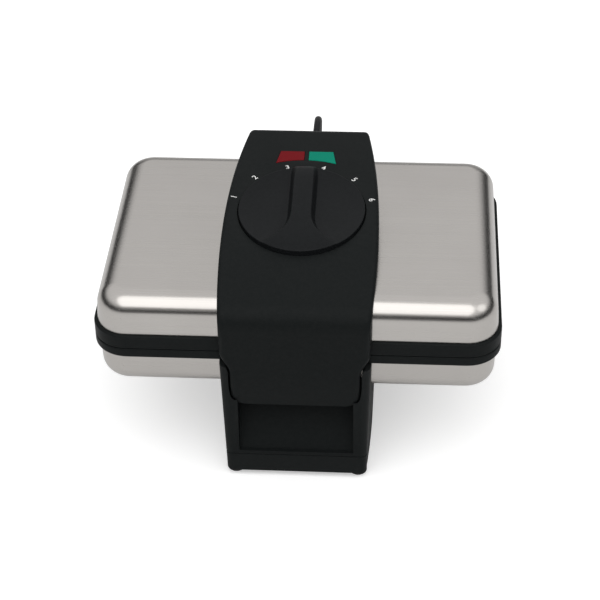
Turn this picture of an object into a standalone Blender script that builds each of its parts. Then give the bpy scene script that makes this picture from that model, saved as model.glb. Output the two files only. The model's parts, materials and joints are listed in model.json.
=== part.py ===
"""Belgian waffle maker: two steel pans on a black stand, joined by a rear hinge.

Metres, +Z up, +X to the right, +Y to the back. The floor is z = 0, and the
origin is the middle of the footprint. Everything is laid out from the middle
of the pans, which lies ROW_SHIFT from the origin along Y.
"""

import math

import bmesh
import bpy
from mathutils import Matrix, Vector

# Shared clearances
GAP = 0.0003
OVERRUN = 0.006
SLIDE_GAP = 0.0012

# Smoothness of round shapes, as counts
CORNER_STEPS = 6
CONSOLE_STEPS = 9
FILLET_STEPS = 4
ROUND_STEPS = 20

# Rings between the pans
RING_WIDTH = 0.300
RING_DEPTH = 0.208
RING_CORNER = 0.026
LOWER_RING_HEIGHT = 0.0075
UPPER_RING_HEIGHT = 0.0112
RING_WALL = 0.005
RING_LEDGE = 0.007
RING_EDGE_ROUND = 0.0012

# Steel pans
PAN_WALL = 0.001
UPPER_PAN_INSET = 0.0025
UPPER_PAN_HEIGHT = 0.030
UPPER_PAN_FILLET = 0.016
UPPER_PAN_DRAFT = 0.001
LOWER_PAN_INSET = 0.0035
LOWER_PAN_HEIGHT = 0.0285
LOWER_PAN_FILLET = 0.013
LOWER_PAN_DRAFT = 0.0005

# Waffle plates
PLATE_FLANGE = 0.0047
PLATE_FLOOR = 0.003
CAVITY_DEPTH = 0.012
SLICE_WIDTH = 0.112
SLICE_DEPTH = 0.164
SLICE_DRAFT = 0.002
MIDDLE_LAND = 0.018
STUD_BASE = 0.015
STUD_TOP = 0.011
STUD_DROP = 0.003
STUD_COLUMNS = 4
STUD_ROWS = 6

# Heating elements and reflectors
ELEMENT_RADIUS = 0.00325
ELEMENT_WIDTH = 0.210
ELEMENT_DEPTH = 0.116
ELEMENT_BEND = 0.022
ELEMENT_LEG_SPREAD = 0.013
ELEMENT_LEG = 0.006
ELEMENT_LEG_BEND = 0.008
REFLECTOR_MARGIN = 0.016
REFLECTOR_CORNER = 0.018
REFLECTOR_SHEET = 0.001
REFLECTOR_LEG_HOLE = 0.0065

# Black band, the outline that the console and the stand share in plan
BAND_HALF_WIDTH = 0.0584
BAND_WIDEST_Y = -0.037
BAND_SIDE_RADIUS = 0.80

# Console on the lid
CONSOLE_WALL = 0.0024
CONSOLE_REAR_GAP = 0.0004
CONSOLE_TOP = 0.0236
CONSOLE_TOP_INSET = 0.029
CONSOLE_FRONT_DROP = 0.02525
CONSOLE_FRONT_RADIUS = 0.019
CONSOLE_REAR_RADIUS = 0.011
CONSOLE_EDGE_ROUND = 0.0035

# Front flap and its tongue, which is the handle
HANDLE_THICKNESS = 0.0084
TONGUE_HALF_WIDTH = 0.048
TONGUE_CORNER = 0.009
TONGUE_DROP = 0.0555
TONGUE_SHOULDER = 0.019
TONGUE_SWEEP = 0.003
HANDLE_BACK_THICKNESS = 0.0026
HANDLE_BACK_TOP_DROP = 0.004
HANDLE_SCREW_X = 0.030
HANDLE_SCREW_DROP = 0.040

# Knob and dial, along an axis square to the console under its middle
KNOB_Y = -0.008
KNOB_RADIUS = 0.0475
KNOB_RISE = 0.0024
KNOB_SKIRT = 0.0040
KNOB_WALL = 0.003
KNOB_ROOF = 0.0016
KNOB_WELL_GAP = 0.0009
KNOB_WELL_DEPTH = 0.0048
KNOB_WELL_FLOOR = 0.0022
KNOB_RIDGE_HEIGHT = 0.0062
KNOB_RIDGE_FRONT_HEIGHT = 0.0006
KNOB_RIDGE_HALF_WIDTH = 0.0082
KNOB_RIDGE_FLARE = 0.0185
KNOB_RIDGE_END_FALL = 0.8
KNOB_SCOOP = 0.0030
KNOB_HUB_RADIUS = 0.0065
KNOB_RINGS = 9
KNOB_SECTORS = 48
SHAFT_RADIUS = 0.003
SHAFT_HOLE_GAP = 0.0008
KNOB_CLIP_WALL = 0.0006

# Thermostat
THERMOSTAT_WIDTH = 0.026
THERMOSTAT_DEPTH = 0.022
THERMOSTAT_HEIGHT = 0.011
THERMOSTAT_NECK = 0.0015
BRACKET_SHEET = 0.0012
BRACKET_WIDTH = 0.036
BRACKET_FOOT = 0.010

# Thermal fuse on the upper plate
FUSE_Y = 0.010
FUSE_RADIUS = 0.0018
FUSE_LENGTH = 0.014
FUSE_CLIP_SHEET = 0.0006
FUSE_CLIP_WIDTH = 0.006
FUSE_CLIP_FOOT = 0.004

# Lamps behind the dial
LENS_ARC_RADIUS = 0.0613
LENS_REAR_Y = 0.0655
LENS_MIDDLE_GAP = 0.0014
LENS_REAR_X = 0.0207
LENS_FRONT_X = 0.0235
LENS_PROUD = 0.0003
LENS_THICKNESS = 0.0042
LAMP_RADIUS = 0.0024
LAMP_LENGTH = 0.010
LAMP_HOLDER_WALL = 0.0012
LAMP_HOLDER_DEPTH = 0.0075

# Stand
FOOT_HEIGHT = 0.005
FOOT_RADIUS = 0.0068
FOOT_STUD_RADIUS = 0.003
FOOT_STUD = 0.006
FOOT_INSET = 0.0092
STAND_CLEARANCE = 0.0725
STAND_WALL = 0.0028
STAND_TAPER_SHARE = 0.955
STAND_FRONT_SETBACK = 0.001
STAND_CORNER = 0.005
CHEEK_TOP_GAP = 0.0006
RECESS_HALF_WIDTH = 0.0428
RECESS_SILL = 0.020
RECESS_DEPTH_TOP = 0.034
RECESS_DEPTH_SILL = 0.003
TRAY_HEIGHT = 0.0162
TRAY_FLOOR = 0.0025
PILLAR_RADIUS = 0.0042
PILLAR_X = 0.034
PILLAR_FRONT_INSET = 0.018
PILLAR_REAR_OUTSET = 0.002
REAR_FOOT_INSET = 0.0105

# Screws
SCREW_RADIUS = 0.0014
SCREW_HEAD_RADIUS = 0.0028
SCREW_HEAD = 0.0016
SCREW_LENGTH = 0.010
SCREW_STEPS = 12

# Rear tower and hinge
HINGE_DROP = 0.008
HINGE_RISE = 0.014
BARREL_RADIUS = 0.008
PIN_RADIUS = 0.0025
PIN_HEAD_RADIUS = 0.0038
PIN_HEAD = 0.0015
EAR_INNER_X = 0.028
EAR_OUTER_X = 0.041
TOWER_FRONT_GAP = 0.0006
TOWER_WALL = 0.0026
TOWER_TOP_GAP = 0.0006
HINGE_PLATE = 0.002
HINGE_PLATE_HEIGHT = 0.013
KNUCKLE_WIDTH = 0.012
HINGE_SCREW_X = 0.020
HINGE_SCREW_LENGTH = 0.008

# Terminal block in the stand
TERMINAL_WIDTH = 0.030
TERMINAL_DEPTH = 0.018
TERMINAL_HEIGHT = 0.015
TERMINAL_HOLE_RADIUS = 0.0022
TERMINAL_Y = 0.040

# Mains lead
CORD_RADIUS = 0.00325
CORD_EXIT_DROP = 0.013
CORD_SPACING = 0.014
CORD_SAMPLES = 24
CORD_ROUTE = (
    (0.0, 0.1780, 0.1124),
    (0.0, 0.1950, 0.1127),
    (0.0, 0.2110, 0.1120),
    (-0.0002, 0.2232, 0.1092),
    (-0.0005, 0.2336, 0.1024),
    (-0.0010, 0.2406, 0.0920),
    (-0.0016, 0.2432, 0.0800),
    (-0.0022, 0.2436, 0.0660),
    (-0.0030, 0.2434, 0.0530),
    (-0.0042, 0.2430, 0.0400),
    (-0.0078, 0.2424, 0.0262),
    (-0.0160, 0.2418, 0.0144),
    (-0.0280, 0.2414, 0.0073),
    (-0.0420, 0.2411, 0.0049),
)
BOOT_LENGTH = 0.038
BOOT_ROOT_RADIUS = 0.0066
BOOT_TIP_RADIUS = 0.0044
BOOT_FLANGE_RADIUS = 0.0072
BOOT_FLANGE = 0.0025
BOOT_NECK_RADIUS = 0.0046
COIL_RADIUS = 0.0405
COIL_PITCH = 0.0075
COIL_TURNS = 2.5
COIL_LAYER = 0.0070
COIL_X = -0.070
COIL_Y = 0.2005
COIL_TAIL = 0.044
COIL_STEPS = 24
TAIL_SHARES = (0.15, 0.3, 0.42, 0.54, 0.66, 0.85, 1.0)
TIE_WIDTH = 0.008
TIE_SHEET = 0.0009
PLUG_AXIS_HEIGHT = 0.0185
PLUG_BODY_RADIUS = 0.0182
PLUG_BODY = 0.036
PLUG_NECK_RADIUS = 0.0095
PLUG_BOOT = 0.022
PLUG_BOOT_RADIUS = 0.0050
PLUG_PIN_RADIUS = 0.0024
PLUG_PIN_LENGTH = 0.019
PLUG_PIN_SPREAD = 0.0095
PLUG_PIN_ROOT = 0.008

# Heights, from the floor up
STAND_BOTTOM = FOOT_HEIGHT
PAN_BOTTOM = STAND_BOTTOM + STAND_CLEARANCE
LOWER_RING_BOTTOM = PAN_BOTTOM + LOWER_PAN_HEIGHT
LOWER_RING_TOP = LOWER_RING_BOTTOM + LOWER_RING_HEIGHT
UPPER_RING_BOTTOM = LOWER_RING_TOP + GAP
UPPER_RING_TOP = UPPER_RING_BOTTOM + UPPER_RING_HEIGHT
UPPER_PAN_TOP = UPPER_RING_TOP + UPPER_PAN_HEIGHT

# Places front to back, from the middle of the pans
FLAP_BACK_Y = -RING_DEPTH / 2 - 2 * GAP
FLAP_FRONT_Y = FLAP_BACK_Y - HANDLE_THICKNESS
CONSOLE_REAR_Y = RING_DEPTH / 2 - CONSOLE_REAR_GAP
CONSOLE_TOP_Y = RING_DEPTH / 2 - CONSOLE_TOP_INSET
CONSOLE_ARCH_RADIUS = (CONSOLE_TOP_Y - FLAP_FRONT_Y) ** 2 / (2 * CONSOLE_FRONT_DROP)
PILLAR_FRONT_Y = PILLAR_FRONT_INSET - ELEMENT_DEPTH / 2
PILLAR_REAR_Y = ELEMENT_DEPTH / 2 + PILLAR_REAR_OUTSET
HINGE_Y = RING_DEPTH / 2 + HINGE_DROP
HINGE_Z = UPPER_RING_TOP + HINGE_RISE
TOWER_REAR_Y = HINGE_Y + BARREL_RADIUS
STAND_FRONT_Y = FLAP_FRONT_Y + STAND_FRONT_SETBACK
ROW_SHIFT = -(FLAP_FRONT_Y + TOWER_REAR_Y) / 2

MATERIALS = {
    "steel": ((0.60, 0.58, 0.55), 0.32, 1.0),
    "black_plastic": ((0.022, 0.024, 0.025), 0.48, 0.0),
    "knob_plastic": ((0.030, 0.032, 0.035), 0.42, 0.0),
    "nonstick": ((0.030, 0.030, 0.032), 0.38, 0.0),
    "element": ((0.24, 0.23, 0.22), 0.50, 1.0),
    "aluminium": ((0.75, 0.75, 0.76), 0.35, 1.0),
    "rubber": ((0.020, 0.020, 0.020), 0.70, 0.0),
    "red_lens": ((0.42, 0.015, 0.02), 0.25, 0.0),
    "green_lens": ((0.005, 0.33, 0.20), 0.25, 0.0),
    "lamp_glass": ((0.85, 0.80, 0.72), 0.10, 0.0),
    "phenolic": ((0.10, 0.06, 0.04), 0.55, 0.0),
    "ceramic": ((0.82, 0.80, 0.75), 0.45, 0.0),
    "zinc": ((0.62, 0.62, 0.64), 0.30, 1.0),
    "cord": ((0.018, 0.018, 0.019), 0.55, 0.0),
}


def clear_scene():
    for item in list(bpy.data.objects):
        bpy.data.objects.remove(item, do_unlink=True)


def material(name):
    found = bpy.data.materials.get(name)
    if found:
        return found
    color, roughness, metallic = MATERIALS[name]
    made = bpy.data.materials.new(name)
    made.use_nodes = True
    shader = made.node_tree.nodes["Principled BSDF"]
    shader.inputs["Base Color"].default_value = (*color, 1.0)
    shader.inputs["Roughness"].default_value = roughness
    shader.inputs["Metallic"].default_value = metallic
    made.diffuse_color = (*color, 1.0)
    return made


def mesh_from(name, points, faces, finish, frame=None):
    """A closed mesh from points laid out from the pans' middle, or in frame."""
    mesh = bpy.data.meshes.new(name)
    mesh.from_pydata([tuple(point) for point in points], [], faces)
    shell = bmesh.new()
    shell.from_mesh(mesh)
    bmesh.ops.recalc_face_normals(shell, faces=shell.faces)
    shell.to_mesh(mesh)
    shell.free()
    mesh.shade_smooth()
    mesh.set_sharp_from_angle(angle=math.radians(35))
    made = bpy.data.objects.new(name, mesh)
    made.data.materials.append(material(finish))
    made.matrix_world = Matrix.Translation((0, ROW_SHIFT, 0)) @ (frame or Matrix())
    bpy.context.scene.collection.objects.link(made)
    return made


def loft(name, loops, finish, frame=None, ring=False):
    """Skin a row of loops of equal length; ring joins the last to the first."""
    count = len(loops[0])
    points = [point for loop in loops for point in loop]
    faces = []
    for level in range(len(loops) if ring else len(loops) - 1):
        here = level * count
        there = (level + 1) % len(loops) * count
        for step in range(count):
            after = (step + 1) % count
            faces.append((here + step, here + after, there + after, there + step))
    if not ring:
        faces.append(tuple(range(count)))
        faces.append(tuple(range((len(loops) - 1) * count, len(loops) * count)))
    return mesh_from(name, points, faces, finish, frame)


def box(name, low, high, finish, frame=None):
    loops = [
        [(low[0], low[1], z), (high[0], low[1], z), (high[0], high[1], z), (low[0], high[1], z)]
        for z in (low[2], high[2])
    ]
    return loft(name, loops, finish, frame)


def turned(name, profile, finish, frame=None, steps=ROUND_STEPS):
    """Turn (radius, height) pairs round Z; an end at radius 0 closes in a point."""
    points = []
    rows = []
    for radius, height in profile:
        if radius == 0:
            rows.append([len(points)] * steps)
            points.append((0, 0, height))
            continue
        rows.append(list(range(len(points), len(points) + steps)))
        for step in range(steps):
            angle = math.tau * step / steps
            points.append((radius * math.cos(angle), radius * math.sin(angle), height))
    faces = []
    for lower, upper in zip(rows, rows[1:]):
        for step in range(steps):
            after = (step + 1) % steps
            corners = (lower[step], lower[after], upper[after], upper[step])
            faces.append(tuple(dict.fromkeys(corners)))
    if profile[0][0] != 0:
        faces.append(tuple(rows[0]))
        faces.append(tuple(rows[-1]))
    return mesh_from(name, points, faces, finish, frame)


def turned_ring(name, profile, finish, frame=None, steps=ROUND_STEPS):
    """Turn a closed outline of (radius, height) pairs round Z."""
    loops = []
    for step in range(steps):
        angle = math.tau * step / steps
        across, along = math.cos(angle), math.sin(angle)
        loops.append([(radius * across, radius * along, z) for radius, z in profile])
    return loft(name, loops, finish, frame, ring=True)


def rod(name, radius, low, high, finish, frame=None, steps=ROUND_STEPS):
    return turned(name, [(radius, low), (radius, high)], finish, frame, steps)


def along_x(place):
    """A frame whose Z runs along +X, from place."""
    return Matrix.Translation(place) @ Matrix.Rotation(math.pi / 2, 4, "Y")


def along_y(place, tilt=0.0):
    """A frame whose Z runs along +Y and rises by tilt, from place."""
    return Matrix.Translation(place) @ Matrix.Rotation(tilt - math.pi / 2, 4, "X")


def as_tool(tool):
    tool.hide_render = True
    tool.display_type = "WIRE"
    return tool


def combine(piece, tool, operation):
    step = piece.modifiers.new(operation.lower(), "BOOLEAN")
    step.operation = operation
    step.solver = "EXACT"
    step.object = as_tool(tool)


def cut(piece, *tools):
    for tool in tools:
        combine(piece, tool, "DIFFERENCE")


def join(piece, *tools):
    for tool in tools:
        combine(piece, tool, "UNION")


def rounded_loop(width, depth, corner, height, steps=CORNER_STEPS):
    """A rectangle with round corners round the pans' middle, at one height."""
    points = []
    corner = max(corner, GAP)
    for quarter, (side, end) in enumerate(((1, 1), (-1, 1), (-1, -1), (1, -1))):
        middle_x = side * (width / 2 - corner)
        middle_y = end * (depth / 2 - corner)
        for step in range(steps + 1):
            angle = math.radians(90) * (quarter + step / steps)
            x = middle_x + corner * math.cos(angle)
            y = middle_y + corner * math.sin(angle)
            points.append((x, y, height))
    return points


def inset_loop(inset, height):
    """The rings' outline, drawn in by inset."""
    width = RING_WIDTH - 2 * inset
    depth = RING_DEPTH - 2 * inset
    return rounded_loop(width, depth, RING_CORNER - inset, height)


def pan_wall(inset, draft, fillet, rim, face, grow=0.0, steps=FILLET_STEPS):
    """Loops from a pan's rim to its flat face; grow swells it on every side."""
    way = 1 if face > rim else -1
    face = face + way * grow
    tall = abs(face - rim)
    radius = fillet + grow
    loops = [inset_loop(inset - grow, rim)]
    for step in range(steps + 1):
        angle = math.radians(90) * step / steps
        inward = draft + radius * (1 - math.cos(angle))
        height = tall - radius + radius * math.sin(angle)
        loops.append(inset_loop(inset - grow + inward, rim + way * height))
    return loops


def upper_pan_loops(grow=0.0):
    rim = UPPER_RING_TOP + GAP
    return pan_wall(UPPER_PAN_INSET, UPPER_PAN_DRAFT, UPPER_PAN_FILLET, rim, UPPER_PAN_TOP, grow)


def lower_pan_loops(grow=0.0):
    rim = LOWER_RING_BOTTOM - GAP
    return pan_wall(LOWER_PAN_INSET, LOWER_PAN_DRAFT, LOWER_PAN_FILLET, rim, PAN_BOTTOM, grow)


def seat_tool(name, loops, past_rim):
    """A grown pan as a tool, carried straight on past its rim."""
    rim = [(x, y, z + past_rim) for x, y, z in loops[0]]
    return loft(name, [rim] + loops, "steel")


def band_half(y, inset=0.0):
    """Half the black band's width at y."""
    bow = (y - BAND_WIDEST_Y) ** 2 / (2 * BAND_SIDE_RADIUS)
    return BAND_HALF_WIDTH - bow - inset


def console_height(y):
    """Height of the console's arched top at y."""
    return UPPER_PAN_TOP + CONSOLE_TOP - (y - CONSOLE_TOP_Y) ** 2 / (2 * CONSOLE_ARCH_RADIUS)


def knob_frame():
    """A frame on the console's top whose Z is the knob's axis."""
    slope = (CONSOLE_TOP_Y - KNOB_Y) / CONSOLE_ARCH_RADIUS
    place = (0, KNOB_Y, console_height(KNOB_Y))
    return Matrix.Translation(place) @ Matrix.Rotation(math.atan(slope), 4, "X")


def upper_pan():
    outer = upper_pan_loops()
    inner = upper_pan_loops(grow=-PAN_WALL)
    pan = make_pan_shell("upper_pan", outer, inner)
    reach = THERMOSTAT_WIDTH / 2 + SLIDE_GAP
    back = THERMOSTAT_DEPTH / 2 + SLIDE_GAP
    top = thermostat_top()
    low = (-reach, -back, top - THERMOSTAT_HEIGHT - OVERRUN)
    cut(pan, box("upper_pan_opening", low, (reach, back, top), "steel", knob_frame()))
    return pan


def make_pan_shell(name, outer, inner):
    """Outer wall from rim to face, then the inner wall back to the rim."""
    count = len(outer[0])
    loops = outer + inner[::-1]
    points = [point for loop in loops for point in loop]
    faces = []
    for level in range(len(loops)):
        here = level * count
        there = (level + 1) % len(loops) * count
        if level == len(outer) - 1:
            faces.append(tuple(range(here, here + count)))
            faces.append(tuple(range(there, there + count)))
            continue
        for step in range(count):
            after = (step + 1) % count
            faces.append((here + step, here + after, there + after, there + step))
    return mesh_from(name, points, faces, "steel")


def lower_pan():
    pan = make_pan_shell("lower_pan", lower_pan_loops(), lower_pan_loops(grow=-PAN_WALL))
    frame = Matrix.Translation((0, TERMINAL_Y, PAN_BOTTOM))
    hole = rod("lower_pan_wire_hole", PILLAR_RADIUS, -OVERRUN, OVERRUN, "steel", frame)
    cut(pan, hole)
    for number, y in enumerate((PILLAR_FRONT_Y, PILLAR_REAR_Y)):
        frame = Matrix.Translation((0, y, PAN_BOTTOM))
        name = f"lower_pan_screw_hole_{number}"
        cut(pan, rod(name, SCREW_RADIUS + GAP, -OVERRUN, OVERRUN, "steel", frame, SCREW_STEPS))
    return pan


def ring(name, face, back):
    """A ring from the parting face to its back, with a ledge over the plate."""
    way = 1 if back > face else -1
    flange = face + way * (PLATE_FLANGE + GAP)
    inner = RING_WALL + RING_LEDGE
    loops = [
        inset_loop(RING_EDGE_ROUND / 2, face),
        inset_loop(0, face + way * RING_EDGE_ROUND),
        inset_loop(0, back - way * RING_EDGE_ROUND),
        inset_loop(RING_EDGE_ROUND, back),
        inset_loop(inner, back),
        inset_loop(inner, flange),
        inset_loop(RING_WALL, flange),
        inset_loop(RING_WALL, face),
    ]
    return loft(name, loops, "black_plastic", ring=True)


def slice_middles():
    reach = (SLICE_WIDTH + MIDDLE_LAND) / 2
    return (-reach, reach)


def grid_lines(span, count):
    """Edges of the studs along one side of a slice, with the slice's own ends."""
    pitch = span / count
    lines = [-span / 2]
    for number in range(count):
        middle = -span / 2 + pitch * (number + 0.5)
        lines += [middle - STUD_BASE / 2, middle + STUD_BASE / 2]
    return lines + [span / 2]


def slice_cutter(name, middle_x, face, way):
    """The waffle that one slice of a plate makes, as a tool: a slab with pits."""
    floor = face - way * CAVITY_DEPTH
    top = face + way * OVERRUN
    draft = SLICE_DRAFT
    xs = grid_lines(SLICE_WIDTH - 2 * draft, STUD_COLUMNS)
    ys = grid_lines(SLICE_DEPTH - 2 * draft, STUD_ROWS)
    points = [(middle_x + x, y, floor) for y in ys for x in xs]
    columns = len(xs)
    faces = []
    taper = (STUD_BASE - STUD_TOP) / 2
    for row in range(len(ys) - 1):
        for column in range(columns - 1):
            first = row * columns + column
            base = (first, first + 1, first + columns + 1, first + columns)
            if row % 2 == 0 or column % 2 == 0:
                faces.append(base)
                continue
            start = len(points)
            for x, y in ((0, 0), (1, 0), (1, 1), (0, 1)):
                place_x = xs[column + x] + (taper, -taper)[x]
                place_y = ys[row + y] + (taper, -taper)[y]
                points.append((middle_x + place_x, place_y, face - way * STUD_DROP))
            for side in range(4):
                after = (side + 1) % 4
                faces.append((base[side], base[after], start + after, start + side))
            faces.append((start, start + 1, start + 2, start + 3))
    rim = list(range(columns))
    rim += [row * columns + columns - 1 for row in range(1, len(ys))]
    rim += [(len(ys) - 1) * columns + column for column in range(columns - 2, -1, -1)]
    rim += [row * columns for row in range(len(ys) - 2, 0, -1)]
    spread = 1 + 2 * draft * (CAVITY_DEPTH + OVERRUN) / CAVITY_DEPTH / SLICE_WIDTH
    start = len(points)
    for corner in rim:
        x, y, _ = points[corner]
        points.append((middle_x + (x - middle_x) * spread, y * spread, top))
    for step in range(len(rim)):
        after = (step + 1) % len(rim)
        faces.append((rim[step], rim[after], start + after, start + step))
    faces.append(tuple(range(start, start + len(rim))))
    return mesh_from(name, points, faces, "nonstick")


def waffle_plate(name, face, way, bosses):
    """A cast plate whose waffle side is at face; way is +1 where that looks up."""
    flange = RING_WALL + GAP
    body = RING_WALL + RING_LEDGE + GAP
    back = face - way * (CAVITY_DEPTH + PLATE_FLOOR)
    loops = [
        inset_loop(flange, face),
        inset_loop(flange, face - way * PLATE_FLANGE),
        inset_loop(body, face - way * PLATE_FLANGE),
        inset_loop(body, back),
    ]
    plate = loft(name, loops, "nonstick")
    for number, middle in enumerate(slice_middles()):
        cut(plate, slice_cutter(f"{name}_slice_{number}", middle, face, way))
    for number, (x, y) in enumerate(bosses):
        ends = sorted((back + way * GAP, back - way * (2 * ELEMENT_RADIUS + GAP)))
        frame = Matrix.Translation((x, y, 0))
        tool = rod(f"{name}_boss_{number}", PILLAR_RADIUS, *ends, "nonstick", frame, SCREW_STEPS)
        join(plate, tool)
        ends = sorted((back, back - way * (2 * ELEMENT_RADIUS + OVERRUN)))
        radius = SCREW_RADIUS + GAP
        tool = rod(f"{name}_bore_{number}", radius, *ends, "nonstick", frame, SCREW_STEPS)
        cut(plate, tool)
    return plate


def arc_points(middle, first, second, start, end, steps):
    """Points on an arc round middle, spanned by the first and second vectors."""
    points = []
    for step in range(steps + 1):
        angle = start + (end - start) * step / steps
        points.append(middle + first * math.cos(angle) + second * math.sin(angle))
    return points


def wire(name, points, radius, finish, resolution=2):
    """A round bar along points, as a filled curve."""
    line = bpy.data.curves.new(name, "CURVE")
    line.dimensions = "3D"
    line.bevel_depth = radius
    line.bevel_resolution = resolution
    line.use_fill_caps = True
    spline = line.splines.new("POLY")
    spline.points.add(len(points) - 1)
    for slot, point in zip(spline.points, points):
        slot.co = (*point, 1.0)
    made = bpy.data.objects.new(name, line)
    made.data.materials.append(material(finish))
    made.matrix_world = Matrix.Translation((0, ROW_SHIFT, 0))
    bpy.context.scene.collection.objects.link(made)
    return made


def element_middle(face, way):
    back = face - way * (CAVITY_DEPTH + PLATE_FLOOR)
    return back - way * (ELEMENT_RADIUS + GAP)


def heating_element(name, face, way):
    """A loop behind the plate, with two legs at the back that turn away from it."""
    height = element_middle(face, way)
    right = Vector((1, 0, 0))
    back = Vector((0, 1, 0))
    away = Vector((0, 0, -way))
    half_x = ELEMENT_WIDTH / 2 - ELEMENT_BEND
    half_y = ELEMENT_DEPTH / 2 - ELEMENT_BEND
    leg_y = ELEMENT_DEPTH / 2
    quarter = math.radians(90)
    steps = CORNER_STEPS // 2 + 1

    def leg(side):
        corner = Vector((side * (ELEMENT_LEG_SPREAD + ELEMENT_LEG_BEND), leg_y, height))
        corner = corner + away * ELEMENT_LEG_BEND
        inward = right * (-side * ELEMENT_LEG_BEND)
        bend = arc_points(corner, inward, away * -ELEMENT_LEG_BEND, 0, quarter, steps)
        return [bend[0] + away * ELEMENT_LEG] + bend

    points = leg(-1)
    bend = ELEMENT_BEND
    for side, end, start in ((-1, 1, 1), (-1, -1, 2), (1, -1, 3), (1, 1, 4)):
        middle = Vector((side * half_x, end * half_y, height))
        turn = (quarter * start, quarter * (start + 1))
        points += arc_points(middle, right * bend, back * bend, *turn, CORNER_STEPS)
    points += leg(1)[::-1]
    return wire(name, points, ELEMENT_RADIUS, "element")


def reflector(name, face, way, screw_holes=()):
    """A flat sheet behind the element, with holes for the element's legs."""
    near = element_middle(face, way) - way * (ELEMENT_RADIUS + GAP)
    far = near - way * REFLECTOR_SHEET
    width = ELEMENT_WIDTH + 2 * REFLECTOR_MARGIN
    depth = ELEMENT_DEPTH + 2 * REFLECTOR_MARGIN
    loops = [rounded_loop(width, depth, REFLECTOR_CORNER, z) for z in (near, far)]
    sheet = loft(name, loops, "aluminium")
    for side in (-1, 1):
        frame = Matrix.Translation((side * ELEMENT_LEG_SPREAD, ELEMENT_DEPTH / 2, near))
        tool = f"{name}_leg_hole_{side + 1}"
        cut(sheet, rod(tool, REFLECTOR_LEG_HOLE, -OVERRUN, OVERRUN, "aluminium", frame))
    for number, (x, y) in enumerate(screw_holes):
        frame = Matrix.Translation((x, y, near))
        tool = f"{name}_screw_hole_{number}"
        radius = SCREW_RADIUS + GAP
        cut(sheet, rod(tool, radius, -OVERRUN, OVERRUN, "aluminium", frame, SCREW_STEPS))
    return sheet


def console_stations(wall=0.0):
    """(y, top height) pairs from the console's rear to its front, less a wall."""
    pairs = []
    rear = CONSOLE_REAR_Y - wall
    radius = CONSOLE_REAR_RADIUS - wall
    rear_middle = rear - radius
    crown = console_height(rear_middle) - wall
    for step in range(CORNER_STEPS):
        angle = math.radians(90) * step / (CORNER_STEPS - 1)
        y = rear_middle + radius * math.cos(angle)
        pairs.append((y, crown - radius + radius * math.sin(angle)))
    radius = CONSOLE_FRONT_RADIUS - wall
    front_middle = FLAP_FRONT_Y + CONSOLE_FRONT_RADIUS
    slope = math.atan((CONSOLE_TOP_Y - front_middle) / CONSOLE_ARCH_RADIUS)
    start = front_middle - radius * math.sin(slope)
    low = console_height(start) - wall - radius * math.cos(slope)
    for step in range(1, CONSOLE_STEPS):
        y = rear_middle + (start - rear_middle) * step / CONSOLE_STEPS
        pairs.append((y, console_height(y) - wall))
    for step in range(CORNER_STEPS):
        share = step / (CORNER_STEPS - 1)
        angle = math.radians(90) + slope + (math.radians(90) - slope) * share
        y = front_middle + radius * math.cos(angle)
        pairs.append((y, low + radius * math.sin(angle)))
    return pairs


def console_section(y, top, bottom, half, corner):
    """One cross-section of the console: upright sides and round upper corners."""
    corner = min(corner, (top - bottom) / 2)
    section = [(-half, y, bottom)]
    for side, start in ((-1, 180), (1, 90)):
        for step in range(3):
            angle = math.radians(start - 90 * step / 2)
            x = side * (half - corner) + corner * math.cos(angle)
            section.append((x, y, top - corner + corner * math.sin(angle)))
    section.append((half, y, bottom))
    return section


def console_body(name, wall, bottom):
    corner = CONSOLE_EDGE_ROUND - wall / 2
    loops = []
    for y, top in console_stations(wall):
        depth = max(min(y - FLAP_FRONT_Y - wall, corner), 0)
        narrow = corner - math.sqrt(corner**2 - (corner - depth) ** 2)
        half = band_half(y, wall) - narrow
        loops.append(console_section(y, top, bottom, half, corner))
    return loft(name, loops, "black_plastic")


def tongue_stations():
    """(height, half width, front sweep) from inside the console to the tip."""
    full = band_half(FLAP_FRONT_Y)
    tip = UPPER_RING_TOP - TONGUE_DROP
    shoulder_top = UPPER_RING_TOP - TONGUE_SHOULDER / 3
    crease = tip + TONGUE_SHOULDER
    stations = [(UPPER_RING_TOP + CONSOLE_FRONT_RADIUS / 2, full, 0)]
    for step in range(5):
        share = step / 4
        ease = share * share * (3 - 2 * share)
        height = shoulder_top - TONGUE_SHOULDER * share
        stations.append((height, full + (TONGUE_HALF_WIDTH - full) * ease, 0))
    stations.append((crease, TONGUE_HALF_WIDTH, 0))
    for step in range(5):
        angle = math.radians(90) * step / 4
        height = tip + TONGUE_CORNER * (1 - math.sin(angle))
        half = TONGUE_HALF_WIDTH - TONGUE_CORNER * (1 - math.cos(angle))
        sweep = TONGUE_SWEEP * (crease - height) / (crease - tip)
        stations.append((height, half, sweep))
    return stations


def flap_section(height, half, front, back, corner):
    """One cross-section of the flap: round front corners, square back ones."""
    section = [(half, back, height)]
    for side, start in ((1, 0), (-1, 270)):
        for step in range(3):
            angle = math.radians(start - 90 * step / 2)
            x = side * (half - corner) + corner * math.cos(angle)
            section.append((x, front + corner + corner * math.sin(angle), height))
    section.append((-half, back, height))
    return section


def flap_body(name, wall, back):
    loops = []
    corner = GAP if wall > 0 else CONSOLE_EDGE_ROUND
    tip = UPPER_RING_TOP - TONGUE_DROP
    for height, half, sweep in tongue_stations():
        height = max(height, tip + wall)
        front = FLAP_FRONT_Y + sweep + wall
        if loops and height >= loops[-1][0][2]:
            continue
        loops.append(flap_section(height, half - wall, front, back, corner))
    if wall < 0:
        loops.append([(x, y, tip + wall) for x, y, _ in loops[-1]])
    return loft(name, loops, "black_plastic")


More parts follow.
